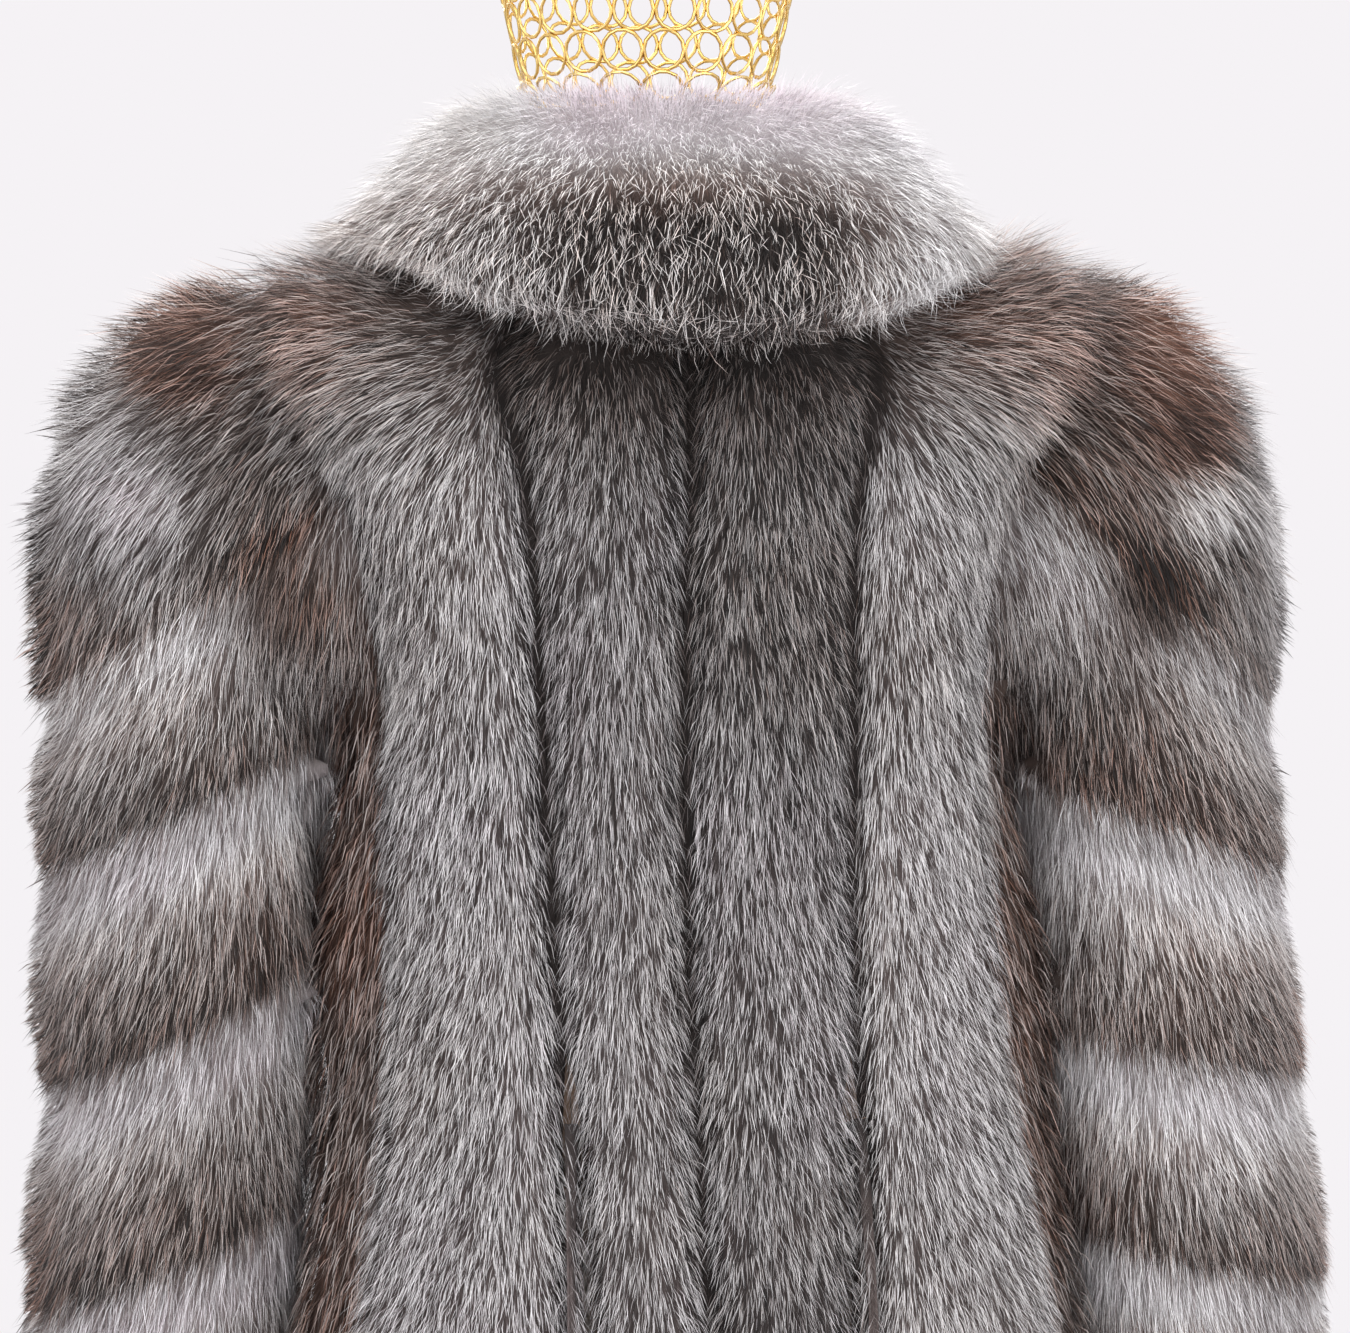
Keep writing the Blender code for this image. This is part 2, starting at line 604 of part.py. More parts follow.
def form_rings():
    """Rings of the form, from its flat bottom over the shoulders to the neck's top.
    The coat rests on it along the two shoulder ridges."""
    rings = [whole_ring(dict(zip(RING_COLUMNS, values)), ROUNDNESS)
             for values in FORM_ROWS.values()]
    for place in OVER_SHOULDER:
        row = read_row(TORSO_ROWS, TORSO_COLUMNS, place)
        row["half_width"] -= FORM_GAP
        row["back"] *= FORM_SLIM
        row["front"] *= FORM_SLIM
        for height in ("z_side", "z_back", "z_front"):
            row[height] -= FORM_GAP
        rings.append(whole_ring(row, ROUNDNESS))
    rings += [whole_ring(dict(zip(RING_COLUMNS, values)), 2.0)
              for values in FORM_NECK_ROWS.values()]
    return rings


def head_rings():
    """The thin wall of the head: down its inner side, then up its outer side."""
    inner = []
    last = len(HEAD_PROFILE) - 1
    for i, (radius, height) in enumerate(HEAD_PROFILE):
        r0, z0 = HEAD_PROFILE[max(i - 1, 0)]
        r1, z1 = HEAD_PROFILE[min(i + 1, last)]
        length = math.hypot(r1 - r0, z1 - z0)
        lift = 0.0 if i == 0 else HEAD_WALL * (r0 - r1) / length
        inner.append((radius - HEAD_WALL * (z1 - z0) / length, height - lift))
    rings = turned(inner[::-1], HEAD_STEPS) + turned(HEAD_PROFILE, HEAD_STEPS)
    return [[point - Vector((0.0, HEAD_FORWARD, 0.0)) for point in ring] for ring in rings]


def pole_rings():
    foot = SOCKET_PROFILE[-1][1] + 2 * HALF_GAP
    top = FORM_ROWS["bottom"][3] - 2 * HALF_GAP
    return turned(((POLE_RADIUS, foot), (POLE_RADIUS, top)), TURNED_STEPS)


# ---------------------------------------------------------------- the whole part
def main():
    for obj in list(bpy.data.objects):
        bpy.data.objects.remove(obj)

    back_fur = new_material("silver_fur_back", (0.20, 0.185, 0.185), 0.75)
    side_fur = new_material("brown_fur_side", (0.070, 0.052, 0.045), 0.75)
    sleeve_fur = new_material("silver_fur_sleeve", (0.22, 0.19, 0.19), 0.75)
    collar_fur = new_material("silver_fur_collar", (0.30, 0.26, 0.26), 0.75)
    linen = new_material("form_linen", (0.62, 0.57, 0.49), 0.9)
    gold = new_material("gold_wire", (0.83, 0.66, 0.36), 0.3, 1.0)
    steel = new_material("stand_steel", (0.55, 0.53, 0.50), 0.35, 1.0)

    sleeve_halves = {"back": sleeve_half(1), "front": sleeve_half(-1)}
    for side in ("left", "right"):
        for name, grids in torso_pieces(side).items():
            fur = side_fur if name.startswith("side") else back_fur
            new_wall(name, grids, fur, side)
        for half, grids in sleeve_halves.items():
            new_wall(f"sleeve_{side}_{half}", grids, sleeve_fur, side)
    new_wall("collar", collar_grids(), collar_fur, "left")

    new_object("form_torso", lambda bm: loft(bm, form_rings()), linen)
    new_object("form_head", lambda bm: loft(bm, head_rings()), gold)
    new_object("form_pole", lambda bm: loft(bm, pole_rings()), steel)
    for name, profile in (("form_base", BASE_PROFILE), ("form_socket", SOCKET_PROFILE)):
        rings = turned(profile, TURNED_STEPS)
        new_object(name, lambda bm, r=rings: loft(bm, r), steel)


main()
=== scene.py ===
import math

import bmesh
import bpy
import numpy as np
from mathutils import Matrix, Vector
from mathutils.bvhtree import BVHTree
from mathutils.kdtree import KDTree


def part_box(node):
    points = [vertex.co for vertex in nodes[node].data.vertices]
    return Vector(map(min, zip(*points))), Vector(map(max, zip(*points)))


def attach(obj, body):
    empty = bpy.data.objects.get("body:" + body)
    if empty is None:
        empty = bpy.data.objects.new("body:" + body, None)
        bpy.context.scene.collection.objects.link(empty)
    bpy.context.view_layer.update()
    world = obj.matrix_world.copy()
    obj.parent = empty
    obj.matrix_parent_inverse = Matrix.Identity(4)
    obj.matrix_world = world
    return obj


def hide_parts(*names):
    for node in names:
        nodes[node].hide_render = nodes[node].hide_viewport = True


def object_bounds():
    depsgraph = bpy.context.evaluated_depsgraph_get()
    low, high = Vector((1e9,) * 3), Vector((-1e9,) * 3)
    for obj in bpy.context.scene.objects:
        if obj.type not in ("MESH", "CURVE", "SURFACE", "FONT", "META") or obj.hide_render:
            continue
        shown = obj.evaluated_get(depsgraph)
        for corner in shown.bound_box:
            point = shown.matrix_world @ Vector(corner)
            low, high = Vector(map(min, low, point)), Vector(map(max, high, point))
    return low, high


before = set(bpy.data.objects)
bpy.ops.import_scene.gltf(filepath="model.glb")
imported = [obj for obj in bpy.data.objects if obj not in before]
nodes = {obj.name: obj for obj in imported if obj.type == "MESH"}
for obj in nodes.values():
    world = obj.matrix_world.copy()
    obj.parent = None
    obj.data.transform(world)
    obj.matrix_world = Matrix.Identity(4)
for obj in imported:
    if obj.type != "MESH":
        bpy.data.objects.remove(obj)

cadBox = [list(corner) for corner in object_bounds()]
scene = bpy.context.scene
scene.view_settings.view_transform = "Standard"
print("frame loaded:", len(nodes), "solids")


def placed(name, data):
    made = bpy.data.objects.new(name, data)
    scene.collection.objects.link(made)
    return made


def linear(tone):
    return ((tone / 255 + 0.055) / 1.055) ** 2.4


def paint(*tones):
    # a colour as painters name it, 11 to 255, for a shader socket
    return (*map(linear, tones), 1.0)


# the camera looks at the coat's back
view = {"azimuth": 8.0, "elevation": 1.5, "distance": 2.2, "target": (-0.008, 0.0, 1.196),
        "width": 0.73, "sensor": 36.0}

around, above = math.radians(view["azimuth"]), math.radians(view["elevation"])
towards = Vector((math.sin(around) * math.cos(above), math.cos(around) * math.cos(above),
                  math.sin(above)))
cameraData = bpy.data.cameras.new("camera")
cameraData.sensor_fit = "HORIZONTAL"
cameraData.sensor_width = view["sensor"]
cameraData.lens = view["sensor"] * view["distance"] / view["width"]
camera = placed("camera", cameraData)
camera.location = Vector(view["target"]) + towards * view["distance"]
camera.rotation_euler = (-towards).to_track_quat("-Z", "Y").to_euler()
scene.camera = camera

# name: place, what it points at, width of the soft box, power
softBoxes = {
    "overheadBox": ((0.2, 0.9, 3.3), (0.0, 0.0, 1.35), 1.8, 34.0),
    "leftBox": ((2.1, 2.3, 1.9), (0.0, 0.0, 1.2), 1.8, 31.0),
    "rightBox": ((-2.1, 2.5, 1.7), (0.0, 0.0, 1.15), 1.8, 41.0),
    "frontBox": ((0.2, -2.6, 2.4), (0.0, 0.0, 1.2), 1.8, 40.0),
}
for name, (place, aim, width, power) in softBoxes.items():
    lampData = bpy.data.lights.new(name, "AREA")
    lampData.shape = "SQUARE"
    lampData.size = width
    lampData.energy = power
    lamp = placed(name, lampData)
    lamp.location = place
    lamp.rotation_euler = (Vector(aim) - Vector(place)).to_track_quat("-Z", "Y").to_euler()

world = bpy.data.worlds.new("studio")
world.use_nodes = True
backdrop = world.node_tree.nodes["Background"]
backdrop.inputs["Color"].default_value = paint(245, 242, 245)
backdrop.inputs["Strength"].default_value = 1.0
scene.world = world


def newMaterial(name, roughness, metallic=0.0, **plain):
    made = bpy.data.materials.new(name)
    made.use_nodes = True
    shader = made.node_tree.nodes["Principled BSDF"]
    shader.inputs["Roughness"].default_value = roughness
    shader.inputs["Metallic"].default_value = metallic
    for socket, value in plain.items():
        shader.inputs[socket].default_value = value
    return made, shader


def addNode(near, kind, **settings):
    made = near.id_data.nodes.new("ShaderNode" + kind)
    for key, value in settings.items():
        if key in made.inputs:
            made.inputs[key].default_value = value
        else:
            setattr(made, key, value)
    return made


def join(first, output, second, socket):
    first.id_data.links.new(first.outputs[output], second.inputs[socket])


def grainGroup():
    # fine grain over a surface: how strong it is at each place, and the bumps it makes
    group = bpy.data.node_groups.new("surfaceGrain", "ShaderNodeTree")
    for socket, way, kind in (("Fineness", "INPUT", "Float"), ("Stretch", "INPUT", "Vector"),
                              ("Depth", "INPUT", "Float"), ("Amount", "OUTPUT", "Float"),
                              ("Normal", "OUTPUT", "Vector")):
        group.interface.new_socket(socket, in_out=way, socket_type="NodeSocket" + kind)
    start, end = group.nodes.new("NodeGroupInput"), group.nodes.new("NodeGroupOutput")
    place = addNode(group, "TexCoord")
    stretched = addNode(group, "VectorMath", operation="MULTIPLY")
    noise = addNode(group, "TexNoise", Detail=3.0, Roughness=0.6)
    bump = addNode(group, "Bump", Strength=0.6)
    join(place, "Object", stretched, 0)
    join(start, "Stretch", stretched, 1)
    join(stretched, "Vector", noise, "Vector")
    join(start, "Fineness", noise, "Scale")
    join(start, "Depth", bump, "Distance")
    join(noise, "Fac", bump, "Height")
    join(noise, "Fac", end, "Amount")
    join(bump, "Normal", end, "Normal")
    return group


surfaceGrain = grainGroup()
grainSpan = (0.3, 0.7)      # the part of the noise that colours and roughness run over


def addGrain(shader, fineness, depth, stretch=(1.0, 1.0, 1.0)):
    grain = addNode(shader, "Group", node_tree=surfaceGrain, Fineness=fineness, Stretch=stretch,
                    Depth=depth)
    join(grain, "Normal", shader, "Normal")
    return grain


def colourBetween(shader, pattern, *colours):
    # the base colour runs from one colour to the other as the pattern does
    ramp = addNode(shader, "ValToRGB")
    for element, position, colour in zip(ramp.color_ramp.elements, grainSpan, colours):
        element.position = position
        element.color = paint(*colour)
    join(pattern, 0, ramp, "Fac")
    join(ramp, "Color", shader, "Base Color")


def metalFinish(name, roughness, low, high, fineness, depth, stretch, *colours):
    # metal whose colour and roughness change a little with its grain
    made, shader = newMaterial(name, roughness, 1.0)
    grain = addGrain(shader, fineness, depth, stretch)
    colourBetween(shader, grain, *colours)
    spread = addNode(shader, "MapRange", **{
        "From Min": grainSpan[0], "From Max": grainSpan[1], "To Min": low, "To Max": high})
    join(grain, "Amount", spread, "Value")
    join(spread, "Result", shader, "Roughness")
    return made


def meshFrom(bm, name):
    mesh = bpy.data.meshes.new(name)
    bm.to_mesh(mesh)
    bm.free()
    mesh.shade_smooth()
    return mesh


def addPiece(name, mesh, material, nodeName):
    mesh.materials.clear()
    mesh.materials.append(material)
    piece = placed(name, mesh)
    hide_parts(nodeName)
    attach(piece, "root")
    return piece


floorMaterial, floorShader = newMaterial("paleFloor", 0.85)
floorShader.inputs["Base Color"].default_value = paint(222, 220, 222)
bm = bmesh.new()
bmesh.ops.create_circle(bm, cap_ends=True, segments=96, radius=3.2)
floorMesh = meshFrom(bm, "floor")
floorMesh.materials.append(floorMaterial)
floor = placed("floor", floorMesh)
floor.location.z = -0.0005      # just clear of the base's underside
print("camera, light and floor ready")


# which faces of a fur wall are fur, which are leather and which are seam
furSide, leatherSide, seamSide = 1, 2, 0
mergeDistance = 1e-5


def solidsTree(names):
    corners, faces, owner = [], [], []
    for name in names:
        node = nodes[name]
        start = len(corners)
        corners += [v.co.copy() for v in node.data.vertices]
        for face in node.data.polygons:
            faces.append([start + i for i in face.vertices])
            owner.append(name)
    return BVHTree.FromPolygons(corners, faces), owner


def kindOf(nodeName):
    return next(kind for kind in ("sleeve", "collar", "form", "side", "godet", "back", "front")
                if nodeName.startswith(kind))


allSolids, solidOwner = solidsTree(nodes)
sleeveTree = solidsTree([name for name in nodes if kindOf(name) == "sleeve"])[0]
bodyTree = solidsTree([name for name in nodes
                       if kindOf(name) in ("back", "front", "side", "godet")])[0]
# how far a face looks out, and the distances that tell what it meets there
sight = {"far": 0.8, "touching": 0.0015, "groove": 0.03, "armhole": 0.06, "underCollar": 0.06,
         "collarRoll": 0.08, "collarRests": 0.01, "cuffBelow": 0.8, "hemBelow": 0.6}


def sideOf(nodeName, centre, normal):
    # looks out from the face: (side, whether the collar lies on it)
    kind = kindOf(nodeName)
    _, _, index, distance = allSolids.ray_cast(centre + normal * 2e-5, normal, sight["far"])
    seen = kindOf(solidOwner[index]) if index is not None else None
    if seen and seen != "form" and distance < sight["touching"]:
        return (furSide if solidOwner[index] == nodeName else seamSide), False
    if kind == "collar":
        near = seen not in (None, "form", "collar") and distance < sight["underCollar"]
        return (leatherSide if near and normal.z < 0.3 else furSide), False
    if seen is None:
        lowest = sight["cuffBelow" if kind == "sleeve" else "hemBelow"]
        return (seamSide if normal.z < -0.85 and centre.z < lowest else furSide), False
    if seen == "collar":
        return ((furSide if distance < sight["collarRoll"] else leatherSide),
                distance < sight["collarRests"])
    groove = sight["armhole" if "sleeve" in (kind, seen) and kind != seen else "groove"]
    return (furSide if seen != "form" and distance < groove else leatherSide), False


def keepLargestSheet(bm, side, kind):
    # the leather is one sheet: any other face that looks inwards is in a groove of the fur
    seen, sheets = set(), []
    for face in bm.faces:
        if face[side] != leatherSide or face in seen:
            continue
        seen.add(face)
        sheet = [face]
        for member in sheet:
            near = {other for edge in member.edges for other in edge.link_faces
                    if other[side] == leatherSide} - seen
            seen |= near
            sheet += near
        sheets.append(sheet)
    sheets.sort(key=len)
    for sheet in sheets[:-1]:
        for face in sheet:
            face[side] = furSide
    if kind == "collar":
        # the fur rolls round the collar's edge, two faces deep onto its underside
        for _ in range(2):
            edge = [face for face in sheets[-1] if face[side] == leatherSide and any(
                other[side] != leatherSide for vertex in face.verts for other in vertex.link_faces)]
            for face in edge:
                face[side] = furSide


# above each godet the strips part a little, and its tip is raised and narrowed to fill the gap
godetTip = {"above": 0.86, "lift": 0.098, "seam": {"left": 0.0612, "right": -0.0849}, "lean": 0.25,
            "wasAt": 0.1245, "nowAt": 0.115, "narrowed": 0.4}


def liftTip(bm, side):
    for vertex in bm.verts:
        if vertex.co.z > godetTip["above"]:
            sign = 1 if side == "left" else -1
            y = godetTip["nowAt"] + godetTip["narrowed"] * (vertex.co.y - godetTip["wasAt"])
            x = godetTip["seam"][side] + sign * godetTip["lean"] * (y - godetTip["nowAt"])
            vertex.co = (x, y, vertex.co.z + godetTip["lift"])


def markedCopy(nodeName, cuts):
    # a merged copy of the solid, each face marked with its side, divided finely
    bm = bmesh.new()
    bm.from_mesh(nodes[nodeName].data)
    bmesh.ops.remove_doubles(bm, verts=bm.verts, dist=mergeDistance)
    bm.normal_update()
    side = bm.faces.layers.int.new("side")
    covered = bm.faces.layers.int.new("covered")
    kind = kindOf(nodeName)
    for face in bm.faces:
        face[side], face[covered] = sideOf(nodeName, face.calc_center_median(), face.normal)
    keepLargestSheet(bm, side, kind)
    if kind == "godet":
        liftTip(bm, nodeName.split("_")[1])
    if cuts:
        bmesh.ops.subdivide_edges(bm, edges=bm.edges[:], cuts=cuts, use_grid_fill=True)
    bmesh.ops.triangulate(bm, faces=bm.faces[:])
    return bm


def acrossFaces(points, triangles):
    # along each triangle's normal, and twice its area long
    corner = points[triangles]
    return np.cross(corner[:, 1] - corner[:, 0], corner[:, 2] - corner[:, 0])


def vertexNormals(points, triangles):
    cross = acrossFaces(points, triangles)
    total = np.zeros_like(points)
    for i in range(3):
        np.add.at(total, triangles[:, i], cross)
    return total / np.maximum(np.linalg.norm(total, axis=1, keepdims=True), 1e-12)


def relaxed(values, pairs, free, rounds):
    # evens values out between neighbours, and leaves the ones that aren't free
    shape = (-1,) + (1,) * (values.ndim - 1)
    for _ in range(rounds):
        total = np.zeros_like(values)
        count = np.zeros(len(values))
        for a, b in ((0, 1), (1, 0)):
            np.add.at(total, pairs[:, a], values[pairs[:, b]])
            np.add.at(count, pairs[:, a], 1)
        even = total / np.maximum(count, 1).reshape(shape)
        values = np.where(free.reshape(shape), 0.5 * values + 0.5 * even, values)
    return values


def unit(rows):
    return rows / np.maximum(np.linalg.norm(rows, axis=1, keepdims=True), 1e-9)


def dots(a, b):
    return np.einsum("ij,ij->i", a, b)


def ease(low, high, values):
    share = np.clip((values - low) / (high - low), 0, 1)
    return share * share * (3 - 2 * share)


def nearness(points, x, z, spread):
    # 1 at a place seen from behind, and less all round it
    return np.exp(-((points[:, 0] - x) ** 2 + (points[:, 2] - z) ** 2) / (2 * spread ** 2))


def softNoise(points, size, seed):
    # smooth random values from -1 to 1 over space, one lump about every size metres
    table = np.random.default_rng(seed).uniform(-1, 1, (32, 32, 32))
    place = points / size + 100.0
    cell = np.floor(place).astype(int)
    share = ease(0, 1, place - cell)
    total = np.zeros(len(points))
    for corner in np.ndindex(2, 2, 2):
        weight = np.prod(np.where(corner, share, 1 - share), axis=1)
        total += weight * table[tuple(((cell + corner) % 32).T)]
    return total


def pointTree(points):
    tree = KDTree(max(len(points), 1))
    for i, point in enumerate(points):
        tree.insert(point, i)
    tree.balance()
    return tree


# the coat sways to one side as it hangs
hang = {"sway": -0.0135, "top": 1.32, "bottom": 0.86}
# each seam across a sleeve: its height where |x| is upright, and how it falls towards the outside
sleeveSeams = {
    "left": ((1.262, -0.66), (1.153, -0.53), (1.035, -0.52), (0.913, -0.47), (0.782, -0.12)),
    "right": ((1.285, -0.9), (1.134, -0.4), (1.000, -0.22), (0.893, -0.25), (0.782, -0.12)),
}
sleeveTop, upright = 1.42, 0.2


def swayAt(height):
    return hang["sway"] * ease(hang["top"], hang["bottom"], height)


def bandPlace(points):
    # the whole part is the band, 0 on the shoulder to 4 above the cuff; the rest runs down it
    out, height = np.abs(points[:, 0]) - upright, points[:, 2]
    place = np.zeros(len(points))
    for side, seams in sleeveSeams.items():
        here = (points[:, 0] > 0) == (side == "left")
        edges = [np.full(len(points), sleeveTop)] + [z + fall * out for z, fall in seams]
        for band, (upper, lower) in enumerate(zip(edges, edges[1:])):
            down = np.clip((upper - height) / np.maximum(upper - lower, 0.02), 0, 0.999)
            place = np.where(here & (height < upper), band + down, place)
    return place


# the pelt of each fur solid: leather sheet, underfur, and what the hair needs
pelt = {"underfurBelowTips": 0.0095, "mostOfDepth": 0.42, "leatherThickness": 0.0012,
        "leatherToUnderfur": 0.002, "cuts": 1, "sleeveCuts": 2, "closesGap": 0.42,
        "widestGap": 0.035, "closesArmpit": 0.5, "widestArmpit": 0.055, "pastArmpit": 0.006,
        "mostIn": 0.013, "mostOut": 0.028, "thickest": 0.09}
# rounds of evening out for the fur's form, its normals, and its normals once swollen
evenRounds = {"sleeve": (26, 14, 45), "other": (3, 4, 3)}
# the fur's depth on the sleeves, and how it swells down each band
sleeveFur = {"shoulder": 0.026, "arm": 0.031, "outside": 0.004, "armFrom": (1.24, 1.14),
             "freeOfBody": (0.01, 0.045), "freeOfCuff": (0.775, 0.835)}
bandSwell = np.array(((0.0, 0.74), (0.12, 0.84), (0.35, 0.97), (0.7, 1.04), (0.92, 1.04),
                      (1.0, 0.98)))
# the collar's ends are rounded off and droop onto the shoulders
collarEnd = {"from": (0.125, 0.185), "left": 0.01, "right": 0.016, "droop": 0.007}
# x, z, how far it spreads, how much the fur stands up or lies flatter there
puffs = (
    (-0.235, 1.385, 0.045, 0.019),
    (-0.19, 1.42, 0.03, 0.006),
    (0.23, 1.385, 0.045, 0.007),
    (0.325, 1.33, 0.035, -0.007),
    (0.15, 1.462, 0.03, -0.01),
    (-0.15, 1.462, 0.03, -0.012),
    (0.000, 1.505, 0.045, -0.01),
    (0.315, 1.215, 0.048, -0.014),
    (-0.315, 1.19, 0.04, -0.009),
    (0.335, 0.96, 0.035, -0.006),
    (0.335, 0.865, 0.035, -0.009),
)


def swollen(nodeName, points, normals, depth, isFur, bodyGap):
    # the fur's outer surface, with the bands of the sleeves, and close to what it touches
    kind = kindOf(nodeName)
    grow = np.zeros(len(points))
    if kind == "sleeve":
        place = bandPlace(points)
        down = np.where(place < 1, 0.7, place - np.floor(place))
        onArm = ease(*sleeveFur["armFrom"], points[:, 2])
        wanted = sleeveFur["shoulder"] + (sleeveFur["arm"] - sleeveFur["shoulder"]) * onArm
        wanted *= np.interp(down, bandSwell[:, 0], bandSwell[:, 1])
        outwards = np.clip(normals[:, 0] * np.sign(points[:, 0]), 0, 1)
        wanted += sleeveFur["outside"] * outwards * onArm
        free = ease(*sleeveFur["freeOfBody"], bodyGap)
        free *= ease(*sleeveFur["freeOfCuff"], points[:, 2])
        grow += (wanted - depth) * free
    for x, z, spread, amount in puffs:
        grow += amount * nearness(points, x, z, spread)
    for i in np.flatnonzero(isFur):
        normal = Vector(normals[i])
        _, _, index, distance = allSolids.ray_cast(Vector(points[i]) + normal * 0.001, normal,
                                                   pelt["widestArmpit"])
        if index is None or distance < 0.002 or kindOf(solidOwner[index]) in ("form", "collar"):
            continue
        met = {kindOf(solidOwner[index]), kind}
        if met == {"sleeve", "side"} and points[i][2] > 1.0:
            grow[i] = max(grow[i], pelt["closesArmpit"] * distance + pelt["pastArmpit"])
        elif "sleeve" in met and len(met) == 2 and distance < pelt["widestGap"]:
            grow[i] = max(grow[i], pelt["closesGap"] * distance)
    grow = np.clip(grow, np.maximum(-pelt["mostIn"], -0.5 * depth), pelt["mostOut"])
    points = points + normals * (grow * isFur)[:, None]
    if kind == "collar":
        corner = ease(*collarEnd["from"], np.abs(points[:, 0])) * isFur
        points[:, 0] -= np.sign(points[:, 0]) * corner * np.where(
            points[:, 0] < 0, collarEnd["right"], collarEnd["left"])
        points[:, 2] -= corner * collarEnd["droop"]
    return points


def peltOf(nodeName):
    kind = kindOf(nodeName)
    isSleeve = kind == "sleeve"
    bm = markedCopy(nodeName, pelt["sleeveCuts" if isSleeve else "cuts"])
    bm.verts.index_update()
    side, covered = (bm.faces.layers.int[layer] for layer in ("side", "covered"))
    points = np.array([v.co[:] for v in bm.verts])
    triangles = np.array([[v.index for v in f.verts] for f in bm.faces])
    marks = np.array([f[side] for f in bm.faces])
    hidden = np.array([f[covered] for f in bm.faces], bool)
    pairs = np.array([[v.index for v in e.verts] for e in bm.edges])
    furFaces, leatherFaces = triangles[marks == furSide], triangles[marks == leatherSide]

    def cornersOf(faces):
        found = np.zeros(len(points), bool)
        found[faces.ravel()] = True
        return found

    isFur, inOther = cornersOf(furFaces), cornersOf(triangles[marks != furSide])
    isLeather = cornersOf(leatherFaces) & ~isFur
    furPairs = pairs[isFur[pairs].all(axis=1)]

    def evenNormals(rounds):
        return unit(relaxed(vertexNormals(points, furFaces), furPairs, isFur, rounds))

    formRounds, normalRounds, swollenRounds = evenRounds["sleeve" if isSleeve else "other"]
    points = relaxed(points, furPairs, isFur & ~inOther, formRounds)
    normals = evenNormals(normalRounds)
    ownTree = BVHTree.FromPolygons([Vector(p) for p in points], triangles.tolist())
    depth = np.zeros(len(points))
    for i in np.flatnonzero(isFur):
        inward = Vector(-normals[i])
        distance = ownTree.ray_cast(Vector(points[i]) + inward * 1e-4, inward, pelt["thickest"])[3]
        depth[i] = distance if distance else 0.01
    depth = relaxed(depth, furPairs, isFur, 3)
    otherTree = bodyTree if isSleeve else sleeveTree
    otherGap = np.array([otherTree.find_nearest(p)[3] if fur else 1.0
                         for p, fur in zip(points, isFur)])
    points = swollen(nodeName, points, normals, depth, isFur, otherGap)
    normals = evenNormals(swollenRounds)
    inset = np.minimum(pelt["underfurBelowTips"], pelt["mostOfDepth"] * depth)

    # only the seams between the strips of the body show as lines in the fur, and the hair closes
    # over the one between the halves of a sleeve
    atLine = isFur & inOther & (otherGap > (0.02 if isSleeve else 0.004)) & (kind != "collar")
    lines = points[atLine & (points[:, 2] > 0.8)] if isSleeve else points[atLine]
    seamTree = pointTree(lines)
    lineGap = np.array([seamTree.find(p)[2] if fur and len(lines) else 1.0
                        for p, fur in zip(points, isFur)])
    noGap = np.ones(len(points))

    under = points - normals * (inset * isFur)[:, None]
    leatherOut = vertexNormals(points, leatherFaces)
    under -= leatherOut * (pelt["leatherToUnderfur"] * isLeather)[:, None]
    return {"name": nodeName, "kind": kind, "points": points, "under": under, "normals": normals,
            "inset": inset, "seamGap": noGap if isSleeve else lineGap,
            "halfGap": lineGap if isSleeve else noGap, "furFaces": furFaces,
            "triangles": triangles, "hidden": hidden[marks == furSide], "bm": bm, "isFur": isFur}


pelts = {name: peltOf(name) for name in nodes if kindOf(name) != "form"}
print("pelts read:", len(pelts))


# which way the hair lies: how far outwards on the shoulders, the arms and the sleeves' caps
comb = {"shoulderOut": 0.9, "sleeveOut": 0.2, "capOut": 0.55, "cap": (1.22, 1.34),
        "shoulder": (1.26, 1.37), "neck": (0.05, 0.15)}


def lieOf(kind, root, normal):
    side = np.sign(root[:, 0])
    down = np.tile((0.0, 0.0, -1.0), (len(root), 1))
    flat = root.copy()
    flat[:, 0] -= swayAt(root[:, 2])
    flat[:, 2] = 0
    radial = unit(flat)
    if kind == "collar":
        away = dots(normal, radial)[:, None]
        lie = radial * (np.abs(normal[:, 2:3]) + 0.15) + down * np.maximum(away, 0.25)
    elif kind == "sleeve":
        cap = ease(*comb["cap"], root[:, 2])
        lie = down
        lie[:, 0] += side * (comb["sleeveOut"] + (comb["capOut"] - comb["sleeveOut"]) * cap)
    else:
        high = ease(*comb["shoulder"], root[:, 2])
        high *= ease(*comb["neck"], np.abs(root[:, 0]))
        lie = down * (1 - 0.55 * high[:, None])
        lie[:, 0] += side * comb["shoulderOut"] * high
        lie += radial * (0.25 * ease(1.3, 1.4, root[:, 2]))[:, None]
    lie -= normal * dots(lie, normal)[:, None]
    return unit(lie)


# the hair's colours: dark tone and light tone from 0 to 255, share of light hairs, and warmth from
# 0, lilac, over 1, grey, and 2, beige, to 3, red brown
furLook = {
    "back_strip_outer_left": (48, 240, 0.57, 1.05),
    "back_strip_outer_right": (54, 248, 0.59, 1.1),
    "back_strip_inner_left": (44, 208, 0.53, 0.95),
    "back_strip_inner_right": (30, 190, 0.5, 1.00),
    "godet": (84, 210, 0.58, 1.1),
    "front_strip_outer": (88, 216, 0.58, 1.0),
    "front_strip_inner": (66, 198, 0.54, 0.9),
    "side_strip": (64, 156, 0.46, 2.3),
    "sleeve": (70, 220, 0.54, 1.3),
    "collar": (42, 250, 0.4, 1.2),
}
